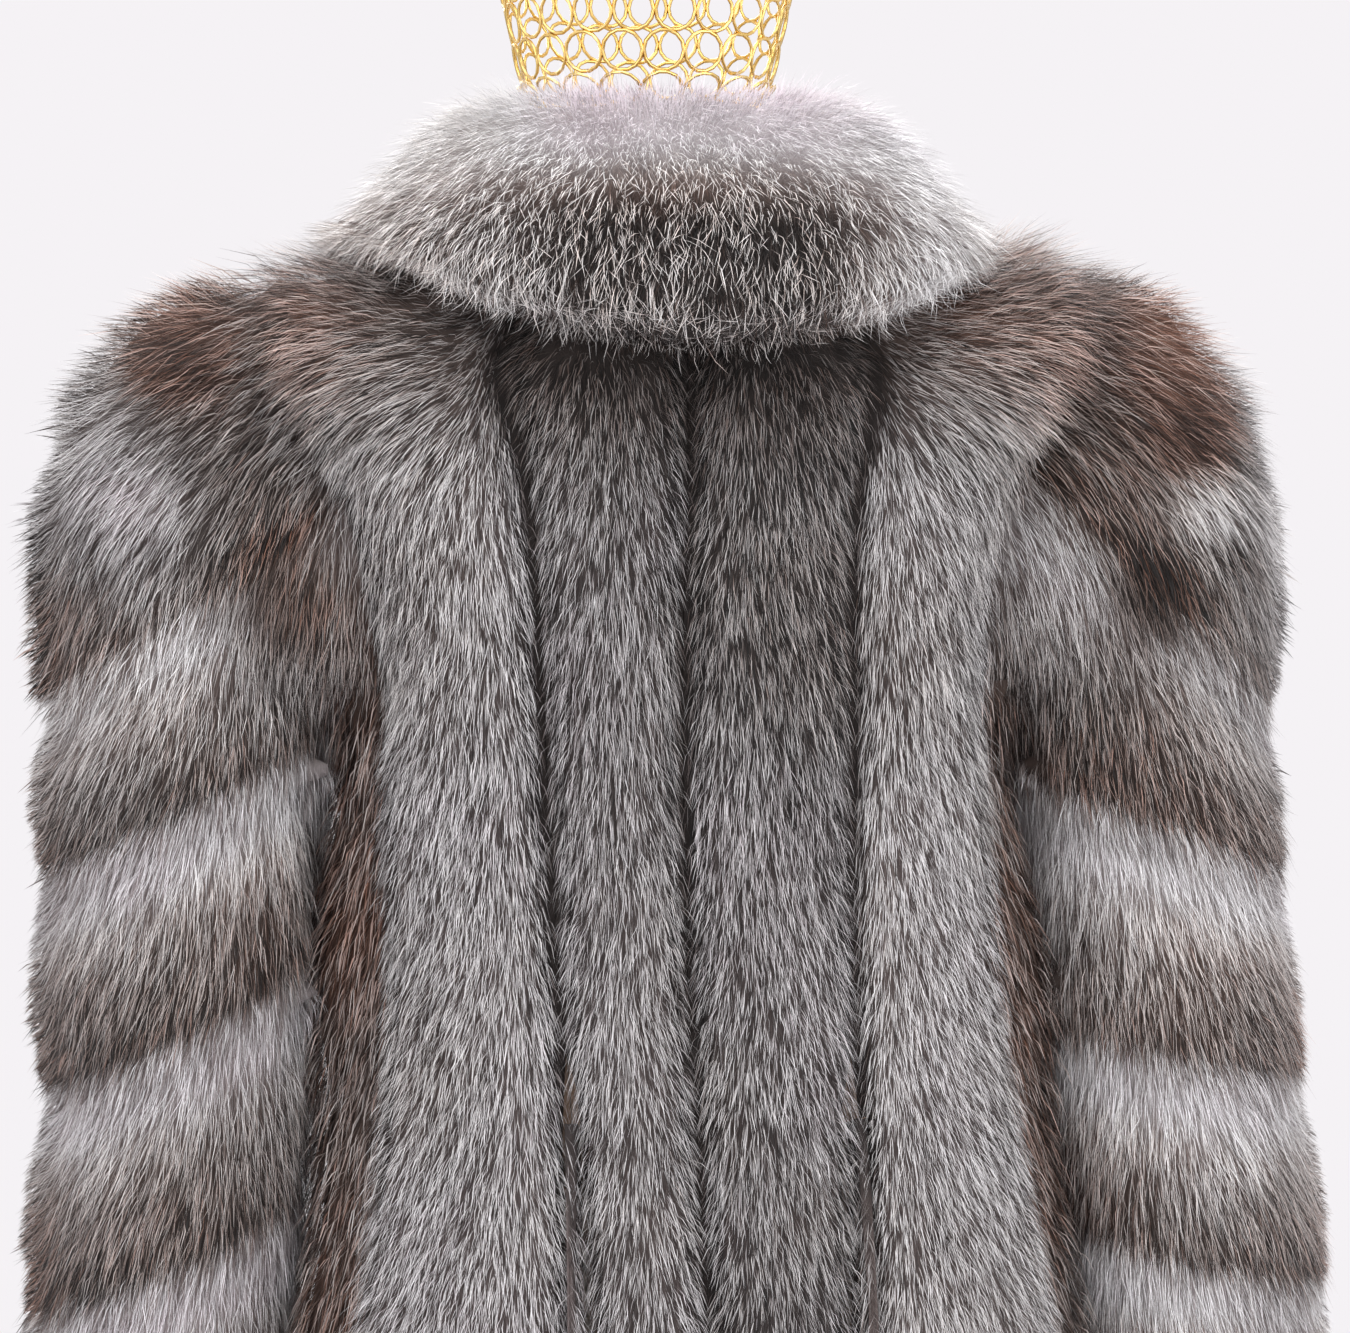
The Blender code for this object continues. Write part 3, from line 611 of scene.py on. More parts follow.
# x, z, how far it spreads, change of tone, of warmth and of the share of light hairs
patches = {
    "leftShoulder": (0.257, 1.352, 0.018, -52, 3.0, -0.42),
    "leftShoulderTop": (0.225, 1.388, 0.036, 10, 1.2, -0.06),
    "leftStreak": (0.232, 1.3, 0.02, -24, 0.5, -0.14),
    "leftLobe": (0.202, 1.232, 0.024, -116, 1.2, -0.36),
    "leftFluff": (0.305, 1.325, 0.026, 28, 0.1, 0.1),
    "leftSilver": (0.284, 1.28, 0.017, 62, -0.6, 0.2),
    "leftEdge": (0.322, 1.225, 0.02, -30, 0.9, -0.15),
    "rightShoulder": (-0.268, 1.362, 0.022, 58, 3.0, -0.42),
    "rightShoulderTop": (-0.2, 1.385, 0.045, -46, 0.8, -0.14),
    "rightStreak": (-0.278, 1.318, 0.015, -30, 3.2, -0.44),
    "rightLobe": (-0.226, 1.285, 0.03, -20, 1.0, -0.14),
    "rightDark": (-0.252, 1.232, 0.018, -124, 1.0, -0.42),
    "rightSlit": (-0.303, 1.25, 0.009, -62, 0.3, -0.2),
    "rightSilver": (-0.28, 1.275, 0.015, 84, -0.6, 0.24),
    "rightFluff": (-0.33, 1.262, 0.018, 46, -0.2, 0.14),
    "rightArm": (-0.235, 1.17, 0.03, -34, 0.3, -0.12),
    "darkPatch": (-0.065, 1.205, 0.045, -14, 0.6, -0.05),
}
# down one band of a sleeve: place, tone, warmth, share of light hairs, how plain it is; the first
# row's dark tone is a painted shadow line under the fringe of the band above
bandLook = np.array((
    (0.00, -20, 0.5, 0.4, 0.5),
    (0.06, 52, -0.6, 0.54, 0.7),
    (0.25, 60, -0.7, 0.66, 0.7),
    (0.42, 16, 0.2, 0.64, 0.3),
    (0.62, -20, 0.5, 0.48, 0.0),
    (0.85, -42, 0.7, 0.38, 0.0),
    (1.00, -66, 0.8, 0.28, 0.0),
))
bandStrength = ((1, 1.5, 2, 4.5), (0.7, 0.7, 1.0, 1.0))     # places down the arm, strengths


def startOf(table, name):
    # the entry whose key the name starts with
    return next(entry for prefix, entry in table.items() if name.startswith(prefix))


def seedOf(name):
    return sum(map(ord, name))


def zonesOf(p, root, place):
    # each zone of a piece: how deep each root lies in it, from 0 to 1, and what changes there;
    # "dark" comes on top of "tone", for the dark hairs alone
    x, y, z = root.T
    left, right = x > 0, x <= 0
    if p["kind"] == "collar":
        # lilac and soft at the top, silver at the sides, bright tips over dark low in the middle;
        # the top, and the right side more than the left, are also painted lighter, as painted light
        # falling on them
        high, sides = ease(1.412, 1.468, z), ease(0.045, 0.125, np.abs(x))
        brown = np.exp(-((x - 0.02) / 0.06) ** 2 - ((z - 1.435) / 0.018) ** 2)
        # painted light: the top is painted much lighter, its dark hairs most of all
        return ((high, {"tone": 108, "dark": 56, "share": 0.16, "plain": 0.25}),
                (high * (1 - sides), {"warm": -1.2, "plain": 0.25}),
                ((1 - high) * (1 - sides),
                 {"tone": 20, "dark": -22, "warm": 0.8, "share": -0.17}),
                (sides * left, {"warm": 0.4}),
                (sides * right, {"warm": -0.3}),
                # painted light: low on the sides the right is painted lighter than the left
                (sides * (1 - high) * left, {"tone": 34, "dark": 14, "share": 0.12}),
                (sides * (1 - high) * right, {"tone": 74, "dark": 68, "share": 0.22}),
                (np.exp(-((z - 1.442) / 0.012) ** 2), {"tone": 26}),
                (brown, {"tone": -24, "warm": 0.8}),
                (ease(0.105, 0.08, np.hypot(x, y)), {"tone": -20}))
    if p["kind"] == "sleeve":
        onArm, lower = ease(0.8, 1.05, place), ease(1.8, 2.2, place)
        outside = ease(0.292, 0.325, np.abs(x)) * onArm
        return ((1 - onArm, {"tone": -34}),
                (outside, {"tone": -36, "warm": 0.2}),
                (ease(1.08, 1.14, z) * right, {"tone": -8}),
                (lower * left, {"tone": -14}),
                (lower * right, {"tone": 14}))
    # painted shade: the strips are painted darker at the top, under the collar, the left more than
    # the right and the inner strips more again
    top, middle = ease(1.27, 1.36, z), ease(1.22, 1.1, z)
    zones = ((top, {"warm": 0.5}),
             (top * ease(0.06, 0.16, np.abs(x)), {"warm": 0.4}),
             (top * left, {"tone": -58}),
             (top * right, {"tone": -30}),
             (middle * left, {"tone": 8}),
             (middle * right, {"tone": 20}),
             (ease(1.02, 0.92, z) * right, {"tone": -20}))
    if "inner" in p["name"]:
        zones += ((1, {"tone": -8}), (ease(1.25, 0.95, z), {"tone": 18}),
                  (top, {"tone": -14}))
    return zones


def tonesOf(p, root, seamGap):
    # dark and light tone, share of light hairs, warmth and plainness at each root
    darkest, lightest, share, warm = startOf(furLook, p["name"])
    seed = seedOf(p["name"])
    look = {"tone": 10 * softNoise(root, 0.055, seed) + 9 * softNoise(root, 0.016, seed + 1),
            "share": share + 0.1 * softNoise(root, 0.022, seed + 2),
            "warm": warm + 0.45 * softNoise(root, 0.07, seed + 3),
            "dark": np.zeros(len(root)),
            "plain": np.zeros(len(root))}
    if root[:, 1].mean() > 0 or p["kind"] == "sleeve":
        for x, z, spread, *changes in patches.values():
            for key, change in zip(("tone", "warm", "share"), changes):
                look[key] += change * nearness(root, x, z, spread)
    place = bandPlace(root)
    if p["kind"] == "sleeve":
        tone, warm, share, plain = (np.interp(place - np.floor(place), bandLook[:, 0], column)
                                    for column in bandLook.T[1:])
        strength = ease(0.8, 1.05, place) * np.interp(place, *bandStrength)
        look["tone"] += tone * strength
        look["warm"] += warm * strength
        look["share"] = look["share"] * (1 - 0.75 * strength) + share * 0.75 * strength
        look["plain"] += plain * strength
    for depth, changes in zonesOf(p, root, place):
        for key, change in changes.items():
            look[key] += change * depth
    groove = 1 - ease(0.0005, 0.007, seamGap)
    shadow = 1 - 0.45 * groove
    return ((darkest + 0.6 * look["tone"]) * shadow + look["dark"],
            (lightest + look["tone"]) * shadow,
            np.clip(look["share"] - 0.15 * groove, 0.05, 0.95),
            look["warm"], np.clip(look["plain"], 0, 1))


# tints of dark and of light hair, from lilac over grey and beige to red brown
darkTints = np.array(((1.24, 0.91, 0.88), (1.19, 0.93, 0.88), (1.32, 0.91, 0.76),
                      (2.1, 0.83, 0.44)))
lightTints = np.array(((1.04, 0.965, 1.02), (0.99, 0.998, 1.005), (1.03, 0.988, 0.96),
                       (1.22, 0.94, 0.85)))
# steps of tone and of warmth, and the cells along each side of the hairs' map
shades = {"tip": 16, "root": 8, "warm": 8, "underfur": 64, "lowest": 10, "highest": 250,
          "cells": 32}


def toneStep(tone, steps):
    share = (tone - shades["lowest"]) / (shades["highest"] - shades["lowest"])
    return np.clip(np.rint(share * (steps - 1)), 0, steps - 1).astype(int)


def warmPlace(warm):
    most = shades["warm"] - 1
    return np.clip(warm * most / (len(darkTints) - 1), 0, most)


def shadeOf(step, steps, warmStep):
    # the colour of one step of tone and warmth
    tone = shades["lowest"] + step * (shades["highest"] - shades["lowest"]) / (steps - 1)
    warmth = warmStep * (len(darkTints) - 1) / (shades["warm"] - 1)
    dark, light = (np.stack([np.interp(warmth, range(len(tints)), tint) for tint in tints.T],
                            axis=1) for tints in (darkTints, lightTints))
    share = ease(60, 205, tone)[:, None]
    return np.clip(linear(tone)[:, None] * (dark * (1 - share) + light * share), 0, 1)


# lengths in metres, hairs to a square metre, stray and wave in degrees; proud is how far a tip
# may stand out of the solid, loose how much further that is on the shoulders
styleColumns = ("length", "width", "density", "stray", "wave", "lock", "pull", "proud", "loose")
hairStyle = {
    "back": (0.022, 0.0004, 410000, 8, 7, 0.0028, 0.2, 0.0025, 0.014),
    "godet": (0.022, 0.0004, 410000, 8, 7, 0.0028, 0.2, 0.0025, 0.0),
    "front": (0.03, 0.00105, 100000, 7, 6, 0.005, 0.3, 0.003, 0.008),
    "side": (0.032, 0.00075, 165000, 7, 6, 0.0045, 0.3, 0.005, 0.0),
    "sleeveBack": (0.031, 0.0004, 330000, 8, 7, 0.003, 0.24, 0.004, 0.017),
    "sleeveFront": (0.036, 0.00105, 105000, 6, 5, 0.005, 0.32, 0.0035, 0.01),
    "collar": (0.024, 0.00034, 470000, 18, 12, 0.0032, 0.36, 0.004, 0.0),
}
# each hair is a kite, folded across its widest place, which is this far along and up it
kite = {"along": 0.45, "up": 0.68, "lengths": (0.62, 1.08), "rises": (0.45, 1.1),
        "widths": (0.6, 1.25), "roll": 25}
# thin pale hairs that stand out of the rest
wisps = {"share": 0.12, "onShoulders": 0.12, "reach": 0.017, "rise": 0.013, "tone": 34,
         "width": 0.65}
hairReach = 0.02    # no tip stands further to a side of the solids


def styleOf(p):
    kind = p["kind"]
    if kind == "sleeve":
        kind += "Back" if p["name"].endswith("back") else "Front"
    style = dict(zip(styleColumns, hairStyle[kind]))
    return style


def turnedBy(forward, across, degrees):
    angle = np.radians(degrees)[:, None]
    return forward * np.cos(angle) + across * np.sin(angle)


def furTree(members):
    # the outer surfaces of several pelts together, as one tree
    corners, faces = [], []
    for member in members:
        start = len(corners)
        corners += [Vector(v) for v in member["points"]]
        faces += (member["triangles"] + start).tolist()
    return BVHTree.FromPolygons(corners, faces)


furTrees = {"collar": furTree([pelts["collar"]]),
            "sleeve": furTree([p for p in pelts.values() if p["kind"] == "sleeve"]),
            "body": furTree([p for p in pelts.values() if p["kind"] != "collar"])}


def trimmed(p, root, tip, limit):
    # how much of each hair is kept, so that its tip stands no further than its limit outside
    solid = furTrees[p["kind"] if p["kind"] in furTrees else "body"]
    kept = np.ones(len(root))
    length = np.linalg.norm(tip - root, axis=1)
    for _ in range(2):
        ends = root + (tip - root) * kept[:, None]
        out = np.zeros(len(root))
        for i, end in enumerate(ends):
            place, normal, _, distance = solid.find_nearest(end)
            if (end[0] - place[0]) * normal[0] + (end[1] - place[1]) * normal[1] \
                    + (end[2] - place[2]) * normal[2] > 0:
                out[i] = distance
        kept *= np.clip(1 - np.maximum(out - limit, 0) / np.maximum(length * kept, 1e-4), 0.3, 1)
    return kept


def hairRoots(p, style, rng):
    # where the hairs stand, which way each lies, and which hair leads its lock
    faces = p["furFaces"]
    cross = acrossFaces(p["under"], faces)
    area = 0.5 * np.linalg.norm(cross, axis=1)
    outwards = unit(p["normals"][faces].sum(axis=1))
    # none grow inside a fold, apart from the groove between the halves of a sleeve
    inGroove = (p["halfGap"][faces].min(axis=1) < 0.03) & (np.abs(outwards[:, 1]) < 0.6)
    grows = dots(unit(cross), outwards) > np.where(inGroove, -0.3, 0.2)
    weight = area * np.where(p["hidden"], 0.3, 1.0) * grows
    count = int(weight.sum() * style["density"])
    picked = faces[rng.choice(len(faces), count, p=weight / weight.sum())]
    first, second = np.sqrt(rng.random(count)), rng.random(count)
    mix = np.stack((1 - first, first * (1 - second), first * second), axis=1)
    hairs = {key: np.einsum("ij,ij...->i...", mix, p[key][picked])
             for key in ("under", "normals", "inset", "seamGap", "halfGap")}

    root, normal = hairs["under"], unit(hairs["normals"])
    lie = lieOf(p["kind"], root, normal)
    beside = np.zeros(count)
    if p["kind"] == "sleeve":
        # beside the seam between its halves the hairs lean across it
        beside = 1 - ease(0.012, 0.04, hairs["halfGap"])
        beside *= ease(0.8, 0.5, np.abs(normal[:, 1]))
        lean = (1.4 + 1.8 * ease(1.25, 1.32, root[:, 2])) * beside
        lie[:, 1] += np.where(p["name"].endswith("back"), -lean, lean)
        lie = unit(lie - normal * dots(lie, normal)[:, None])
    seed = seedOf(p["name"])
    strays = 0.35 + 0.65 * ease(0.0, 0.012, hairs["seamGap"])
    strays *= 1 - 0.2 * ease(1.43, 1.48, root[:, 2])
    if p["kind"] == "collar":
        strays *= 1 + 0.6 * ease(1.43, 1.39, root[:, 2])
    waves = softNoise(root, 0.03, seed + 7) + 0.5 * softNoise(root, 0.011, seed + 8)
    yaw = strays * (rng.normal(0, style["stray"], count) + style["wave"] * waves)
    lie = turnedBy(lie, np.cross(normal, lie), yaw)

    locks = max(int(area.sum() / style["lock"] ** 2), 4)
    leaders = rng.choice(count, min(locks, count), replace=False)
    tree = pointTree(root[leaders])
    leader = leaders[np.array([tree.find(r)[1] for r in root])]
    return hairs, root, normal, lie, beside, leader


def hairShades(p, root, tones, isLight, lockShade, wisp, rng):
    # steps of tone at the root and the tip of each hair, and of warmth
    dark, light, share, warm, plain = tones
    count = len(root)
    average = dark * (1 - share) + light * share
    tone = np.where(isLight, light + rng.normal(6, 24, count),
                    dark + np.abs(rng.normal(0, 15, count)) - 12)
    tone += 3 * lockShade + wisps["tone"] * wisp
    tone = tone * (1 - 0.75 * plain) + average * 0.75 * plain
    rootShare = np.where(isLight, 0.55, 0.75)
    # painted light: on the collar's sides and top the roots are painted lighter, where the hairs
    # shade each other
    if p["kind"] == "collar":
        rootShare += 0.25 * np.maximum(ease(0.05, 0.14, np.abs(root[:, 0])),
                                       ease(1.42, 1.46, root[:, 2]))
    rootTone = rootShare * tone * (1 - plain) + 0.85 * tone * plain
    warmStep = np.rint(warmPlace(warm + rng.normal(0, 0.22, count))).astype(int)
    return (toneStep(rootTone, shades["root"]),
            toneStep(np.where(isLight, tone, tone - 4), shades["tip"]), warmStep)


def growHair(p):
    style = styleOf(p)
    isCollar = p["kind"] == "collar"
    seed = seedOf(p["name"])
    rng = np.random.default_rng(seed)
    hairs, root, normal, lie, beside, leader = hairRoots(p, style, rng)
    count = len(root)
    across = np.cross(normal, lie)
    loose = ease(1.27, 1.36, root[:, 2]) * ease(0.1, 0.18, np.abs(root[:, 0]))
    loose *= not isCollar
    tones = tonesOf(p, root + lie * (0.5 * style["length"]), hairs["seamGap"])
    lockShade = rng.normal(0, 1, count)[leader]
    isLight = rng.random(count) < np.clip(tones[2] + 0.06 * lockShade, 0, 1)

    length = style["length"] * rng.uniform(*kite["lengths"], count)
    length *= (1 + 0.15 * softNoise(root, 0.02, seed + 9)) * (1 + 0.35 * loose)
    length *= 1 - 0.5 * (1 - ease(0.003, 0.018, hairs["halfGap"]))
    atEnd = np.zeros(count)
    if isCollar:
        # the collar's ends droop onto the shoulders
        atEnd = ease(0.13, 0.17, np.abs(root[:, 0])) * ease(1.445, 1.425, root[:, 2])
        length *= 1 + 0.8 * atEnd
    rise = (hairs["inset"] + style["proud"]) * rng.uniform(*kite["rises"], count)
    rise *= (1 + 0.9 * loose) * np.where(isLight, 1.08, 0.82)
    rise = np.minimum(rise, 0.8 * length)
    reach = np.sqrt(length ** 2 - rise ** 2)

    def placeAt(along, up):
        return root + lie * along[:, None] + normal * up[:, None]

    tip = placeAt(reach, rise)
    limit = style["proud"] * rng.uniform(0.1, 1.6, count)
    limit += style["loose"] * loose * rng.random(count)
    wisp = rng.random(count) < wisps["share"] + wisps["onShoulders"] * loose
    wisp = wisp * np.maximum(loose, 0.75 if isCollar else 0.45)
    limit += wisps["reach"] * wisp * rng.random(count)
    limit *= 1 - 0.75 * beside
    rise += wisps["rise"] * wisp * (1 - 0.8 * beside)
    if isCollar:
        limit += 0.026 * atEnd * rng.random(count)
    kept = trimmed(p, root, tip, limit)
    reach, rise = reach * kept, rise * (0.5 + 0.5 * kept)
    middle = placeAt(kite["along"] * reach, kite["up"] * rise)
    middle += across * (rng.normal(0, 0.04, count) * reach)[:, None]
    tip = placeAt(reach, rise)

    # the hairs of a lock run together towards their tips
    pull = (style["pull"] * rng.uniform(0.2, 1.1, count))[:, None]
    tip += (tip[leader] - tip) * pull
    tip[:, 0] = np.clip(tip[:, 0], cadBox[0][0] - hairReach, cadBox[1][0] + hairReach)
    middle += (middle[leader] - middle) * pull * 0.3

    steps = hairShades(p, root, tones, isLight, lockShade, wisp, rng)
    roll = rng.normal(0, kite["roll"], count)
    width = style["width"] * rng.uniform(*kite["widths"], count)
    width *= np.where(wisp > 0, wisps["width"], 1.0)
    if isCollar:
        width *= np.where(isLight & (tones[4] < 0.3), 1.35, 1.0)
    wide = turnedBy(across, normal, roll) * (width / 2)[:, None]
    return np.stack((root, middle - wide, middle + wide, tip), axis=1), steps


def setAll(items, key, values, kind=np.float32):
    items.foreach_set(key, values.astype(kind).ravel())


def addShades(mesh, name, colours):
    layer = mesh.color_attributes.new(name, "FLOAT_COLOR", "POINT")
    setAll(layer.data, "color", np.column_stack((colours, np.ones(len(colours)))))


def hairMesh(name, points, steps):
    count = len(points)
    start = (np.arange(count) * 4)[:, None]
    corners = start + np.array((0, 2, 1, 1, 2, 3))
    mesh = bpy.data.meshes.new(name)
    mesh.vertices.add(4 * count)
    mesh.loops.add(6 * count)
    mesh.polygons.add(2 * count)
    setAll(mesh.vertices, "co", points)
    setAll(mesh.loops, "vertex_index", corners, np.int32)
    setAll(mesh.polygons, "loop_start", np.arange(0, 6 * count, 3), np.int32)
    rootStep, tipStep, warmStep = steps
    rootShade = shadeOf(rootStep, shades["root"], warmStep)[:, None, :]
    tipShade = shadeOf(tipStep, shades["tip"], warmStep)[:, None, :]
    along = np.array((0, kite["along"], kite["along"], 1.0))[None, :, None]
    addShades(mesh, "hairShade", (rootShade * (1 - along) + tipShade * along).reshape(-1, 3))
    # every hair of one shade shares one cell of the map, its root at the cell's foot
    perRow = shades["cells"] // shades["warm"]
    column = warmStep + (rootStep % perRow) * shades["warm"]
    row = tipStep + (rootStep // perRow) * shades["tip"]
    across = np.array((0.5, 0.85, 0.15, 0.15, 0.85, 0.5))
    up = np.array((0.1, 0.46, 0.46, 0.46, 0.46, 0.9))
    places = np.stack(((column[:, None] + across) / shades["cells"],
                       (row[:, None] + up) / shades["cells"]), axis=2)
    uv = mesh.uv_layers.new(name="OFBake")
    setAll(uv.data, "uv", places)
    mesh.update()
    mesh.validate()
    mesh.shade_smooth()
    return mesh


hairMaterial, hairShader = newMaterial("silverFoxHair", 0.52, **{
    "Specular IOR Level": 0.35, "Sheen Weight": 0.12, "Sheen Roughness": 0.4})
join(addNode(hairShader, "Attribute", attribute_name="hairShade"), "Color",
     hairShader, "Base Color")

underfurMaterial, underShader = newMaterial("underfur", 0.9)
underMix = addNode(underShader, "Mix", data_type="RGBA", blend_type="OVERLAY", Factor=0.4)
join(addNode(underShader, "Attribute", attribute_name="underShade"), "Color", underMix, "A")
join(addGrain(underShader, 1500.0, 0.0008, (1.0, 1.0, 0.15)), "Amount", underMix, "B")
join(underMix, "Result", underShader, "Base Color")

leatherMaterial, leatherShader = newMaterial("peltLeather", 0.8)
colourBetween(leatherShader, addGrain(leatherShader, 420.0, 0.0006), (108, 88, 73),
              (136, 113, 96))


def underfurMesh(p):
    bm = p["bm"]
    for vertex, place in zip(bm.verts, p["under"]):
        vertex.co = place
    for layer in ("side", "covered"):
        bm.faces.layers.int.remove(bm.faces.layers.int[layer])
    mesh = meshFrom(bm, "underfur_" + p["name"])
    dark, light, share, warm, plain = tonesOf(p, p["under"], p["seamGap"])
    average = dark * (1 - share) + light * share
    tone = average * (0.52 + 0.3 * plain)
    if p["kind"] == "collar":
        tone = 0.7 * dark * (1 - plain) + 0.82 * average * plain
    steps = shades["underfur"]
    shade = shadeOf(toneStep(tone, steps), steps, warmPlace(warm))
    # painted shade: faces that are not fur, in the seams between pieces and under the hems, are
    # painted dark brown
    addShades(mesh, "underShade", np.where(p["isFur"][:, None], shade, paint(44, 37, 34)[:3]))
    return mesh


def leatherMesh(nodeName):
    bm = markedCopy(nodeName, 0)
    side = bm.faces.layers.int["side"]
    bmesh.ops.delete(bm, geom=[f for f in bm.faces if f[side] != leatherSide], context="FACES")
    bm.faces.layers.int.remove(side)
    bm.faces.layers.int.remove(bm.faces.layers.int["covered"])
    bmesh.ops.solidify(bm, geom=bm.faces[:], thickness=pelt["leatherThickness"])
    return meshFrom(bm, "leather_" + nodeName)


# what each leather was cut to, across and down, and how much of that it fills
leatherCut = {
    "back_strip_inner_left": (0.075, 0.87, 0.86),
    "back_strip_inner_right": (0.092, 0.87, 0.86),
    "back_strip_outer": (0.14, 0.86, 0.79),
    "front_strip_inner": (0.084, 0.86, 0.87),
    "front_strip_outer": (0.14, 0.86, 0.81),
    "godet": (0.048, 0.375, 0.42),
    "side_strip": (0.14, 0.64, 0.86),
    "sleeve": (0.215, 0.68, 0.73),
    "collar": (0.095, 0.62, 0.86),
}


hairCount = 0
for name, p in pelts.items():
    points, steps = growHair(p)
    hairCount += len(points)
    hairPiece = addPiece("hair_" + name, hairMesh("hair_" + name, points, steps), hairMaterial,
                         name)
    underPiece = addPiece("underfur_" + name, underfurMesh(p), underfurMaterial, name)
    leatherPiece = addPiece("leather_" + name, leatherMesh(name), leatherMaterial, name)
    width, length, fill = startOf(leatherCut, name)
print("hairs:", hairCount)

# the wire head: rows of rings on the head's own profile
headAxis = (0.006, -0.012)
headProfile = ((0.042, 1.4875), (0.056, 1.494), (0.0665, 1.505), (0.0705, 1.52),
               (0.0785, 1.556), (0.0835, 1.6), (0.0835, 1.645), (0.077, 1.685),
               (0.062, 1.715), (0.038, 1.735), (0.012, 1.742))
cage = {"ringWidth": 0.0235, "wire": 0.0011, "rowPitch": 0.87, "around": 14, "wireSides": 4,
        "insideSkin": 0.0012, "endWire": 1.6, "endAround": 36, "endSides": 8}
upwards = (0, 0, 1)


def headSpots():
    # place and outward direction of each ring
    profile = np.array(headProfile)
    run = np.concatenate(((0,), np.cumsum(np.linalg.norm(np.diff(profile, axis=0), axis=1))))

    def profileAt(at):
        return np.array([np.interp(at, run, column) for column in profile.T])

    spots = []
    rows = int(run[-1] / (cage["ringWidth"] * cage["rowPitch"]))
    for row in range(rows + 1):
        at = run[-1] * (row + 0.25) / (rows + 0.5)
        radius, height = profileAt(at)
        rise = profileAt(min(at + 0.004, run[-1])) - profileAt(max(at - 0.004, 0))
        rise /= np.linalg.norm(rise)
        number = max(int(round(2 * math.pi * radius / (cage["ringWidth"] - cage["wire"]))), 3)
        for i in range(number):
            turn = 2 * math.pi * (i + 0.5 * (row % 2)) / number
            side = Vector((math.cos(turn), math.sin(turn), 0))
            out = side * rise[1] + Vector((0, 0, -rise[0]))
            place = side * (radius - cage["insideSkin"]) + Vector((*headAxis, height))
            spots.append((place, out))
    return spots


def fullSpin(bm, geometry, steps):
    bmesh.ops.spin(bm, geom=geometry, cent=(0, 0, 0), axis=upwards, dvec=(0, 0, 0),
                   angle=2 * math.pi, steps=steps, use_merge=True, use_duplicate=False)


def wireRing(bm, height, radius, wire, around, wireSides):
    # a circle of wire, spun into a ring round the head's axis
    made = bmesh.ops.create_circle(bm, segments=wireSides, radius=wire)["verts"]
    bmesh.ops.rotate(bm, verts=made, matrix=Matrix.Rotation(math.pi / 2, 3, "X"))
    bmesh.ops.translate(bm, verts=made, vec=(radius, 0, 0))
    before = set(bm.verts) - set(made)
    fullSpin(bm, made + list({edge for vertex in made for edge in vertex.link_edges}), around)
    if height:
        bmesh.ops.translate(bm, verts=list(set(bm.verts) - before), vec=(*headAxis, height))


def headMesh():
    single = bmesh.new()
    wireRing(single, 0, cage["ringWidth"] / 2 - cage["wire"], cage["wire"], cage["around"],
             cage["wireSides"])
    pattern = meshFrom(single, "ringPattern")
    bm = bmesh.new()
    for place, out in headSpots():
        before = len(bm.verts)
        bm.from_mesh(pattern)
        bm.verts.ensure_lookup_table()
        turn = out.to_track_quat("Z", "Y").to_matrix().to_4x4()
        bmesh.ops.transform(bm, matrix=Matrix.Translation(place) @ turn, verts=bm.verts[before:])
    for radius, height in (headProfile[0], headProfile[-1]):
        wireRing(bm, height, radius, cage["endWire"] * cage["wire"], cage["endAround"],
                 cage["endSides"])
    bmesh.ops.recalc_face_normals(bm, faces=bm.faces)
    bpy.data.meshes.remove(pattern)
    return meshFrom(bm, "wireHead")


goldWire = metalFinish("goldWire", 0.28, 0.2, 0.36, 160.0, 0.0001, (1.0, 1.0, 1.0),
                       (232, 195, 112), (244, 214, 142))
addPiece("wire_head", headMesh(), goldWire, "form_head")

# the form's linen torso, and its steel pole, socket and base, as radius and height
stand = {"base": ((0.0, 0.0), (0.17, 0.0), (0.17, 0.008), (0.166, 0.012), (0.034, 0.016),
                  (0.0, 0.016)),
         "socket": ((0.0, 0.0163), (0.03, 0.0163), (0.03, 0.022), (0.023, 0.052), (0.0, 0.052)),
         "poleRadius": 0.015, "edge": 0.0012, "torsoEdge": 0.004, "steps": 72}


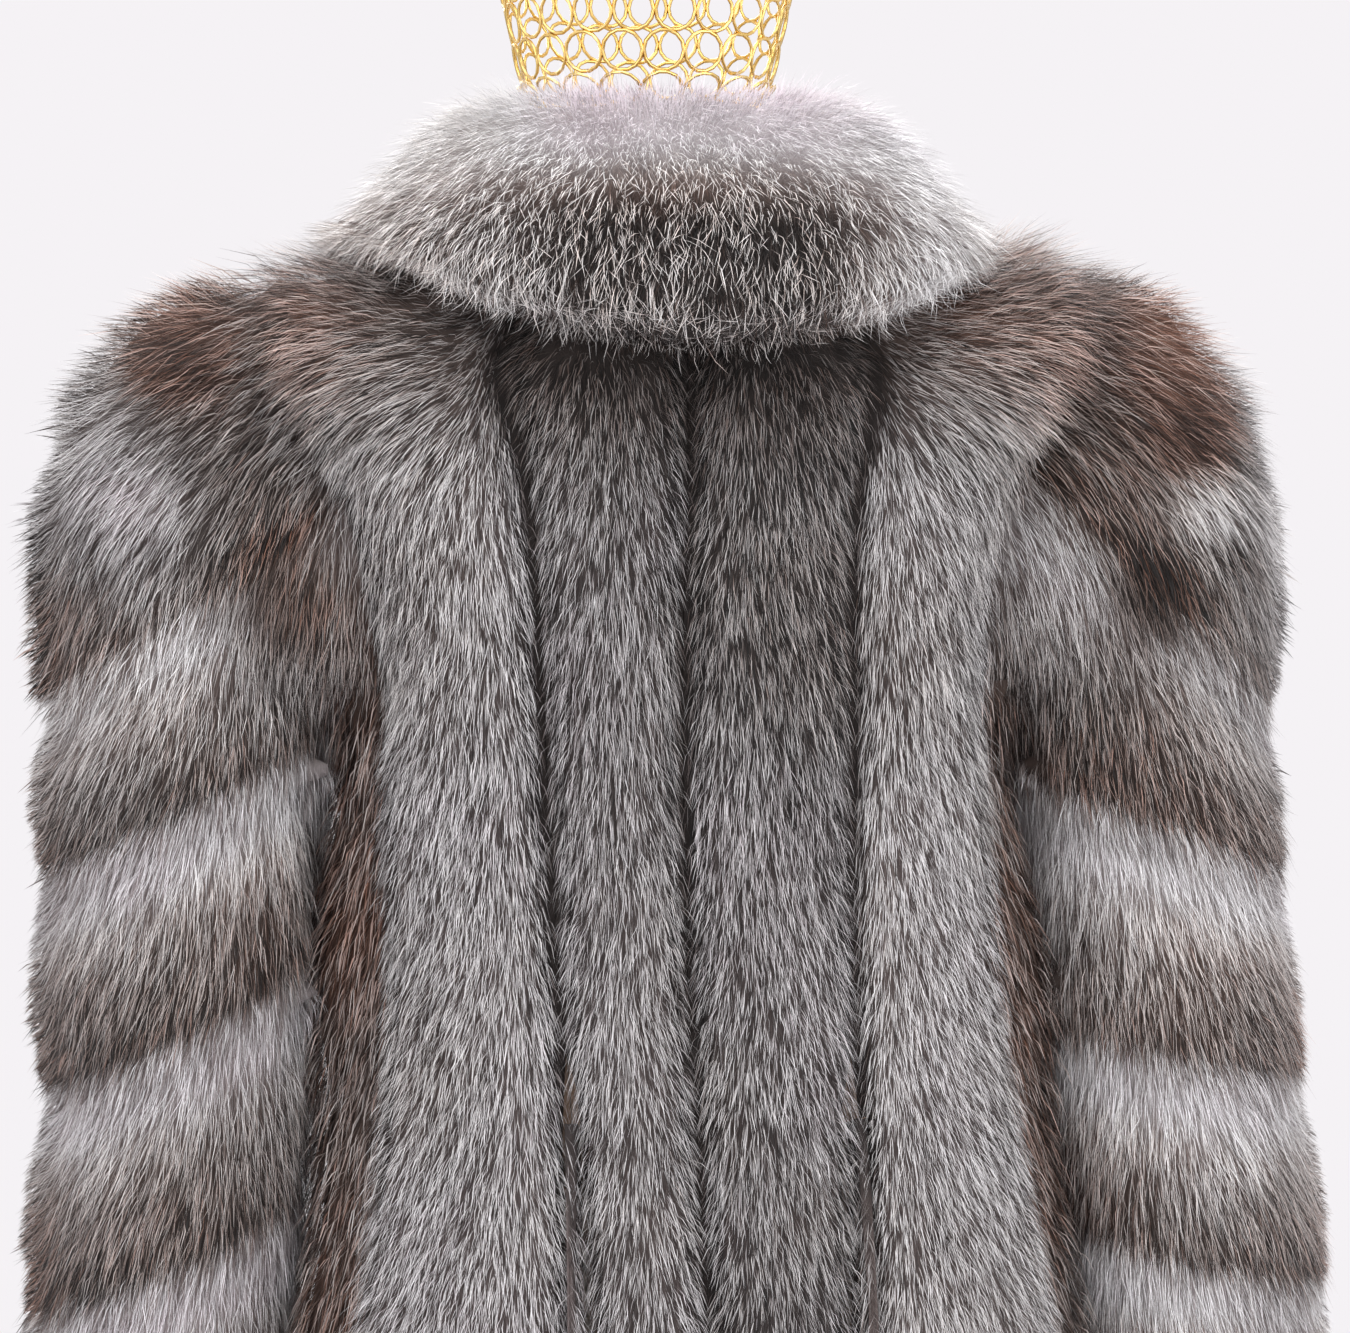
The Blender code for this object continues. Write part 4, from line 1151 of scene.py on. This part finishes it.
def softenedEdges(bm, width, sharper):
    edges = [edge for edge in bm.edges
             if len(edge.link_faces) == 2 and edge.calc_face_angle(0) > math.radians(sharper)]
    bmesh.ops.bevel(bm, geom=edges, offset=width, offset_type="OFFSET", affect="EDGES",
                    segments=3, profile=0.5, material=-1)


def spunMesh(name, profile):
    bm = bmesh.new()
    corners = [bm.verts.new((radius, 0, height)) for radius, height in profile]
    edges = [bm.edges.new(pair) for pair in zip(corners, corners[1:])]
    fullSpin(bm, corners + edges, stand["steps"])
    bmesh.ops.remove_doubles(bm, verts=bm.verts, dist=mergeDistance)
    bmesh.ops.recalc_face_normals(bm, faces=bm.faces)
    softenedEdges(bm, stand["edge"], 20)
    return meshFrom(bm, name)


def torsoMesh():
    bm = bmesh.new()
    bm.from_mesh(nodes["form_torso"].data)
    bmesh.ops.remove_doubles(bm, verts=bm.verts, dist=mergeDistance)
    softenedEdges(bm, stand["torsoEdge"], 60)
    return meshFrom(bm, "torsoForm")


linenMaterial, linenShader = newMaterial("formLinen", 0.88)
threadPlace = addNode(linenShader, "TexCoord")
weave = addNode(linenShader, "Math", operation="MAXIMUM")
for i, direction in enumerate(("Z", "DIAGONAL")):
    thread = addNode(linenShader, "TexWave", wave_type="BANDS", bands_direction=direction,
                     Scale=180.0, Distortion=1.2)
    join(threadPlace, "Object", thread, "Vector")
    join(thread, "Fac", weave, i)
colourBetween(linenShader, weave, (196, 186, 168), (216, 207, 190))
weaveBump = addNode(linenShader, "Bump", Strength=0.5, Distance=0.0004)
join(weave, "Value", weaveBump, "Height")
join(weaveBump, "Normal", linenShader, "Normal")

standSteel = metalFinish("standSteel", 0.32, 0.24, 0.42, 700.0, 0.00005, (1.0, 1.0, 0.05),
                         (186, 183, 178), (204, 201, 196))

foot, top = (corner[2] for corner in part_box("form_pole"))
poleProfile = ((0.0, foot), (stand["poleRadius"], foot), (stand["poleRadius"], top), (0.0, top))
addPiece("torso_form", torsoMesh(), linenMaterial, "form_torso")
addPiece("pole", spunMesh("pole", poleProfile), standSteel, "form_pole")
addPiece("pole_socket", spunMesh("poleSocket", stand["socket"]), standSteel, "form_socket")
addPiece("round_base", spunMesh("roundBase", stand["base"]), standSteel, "form_base")
print("stand and torso ready")
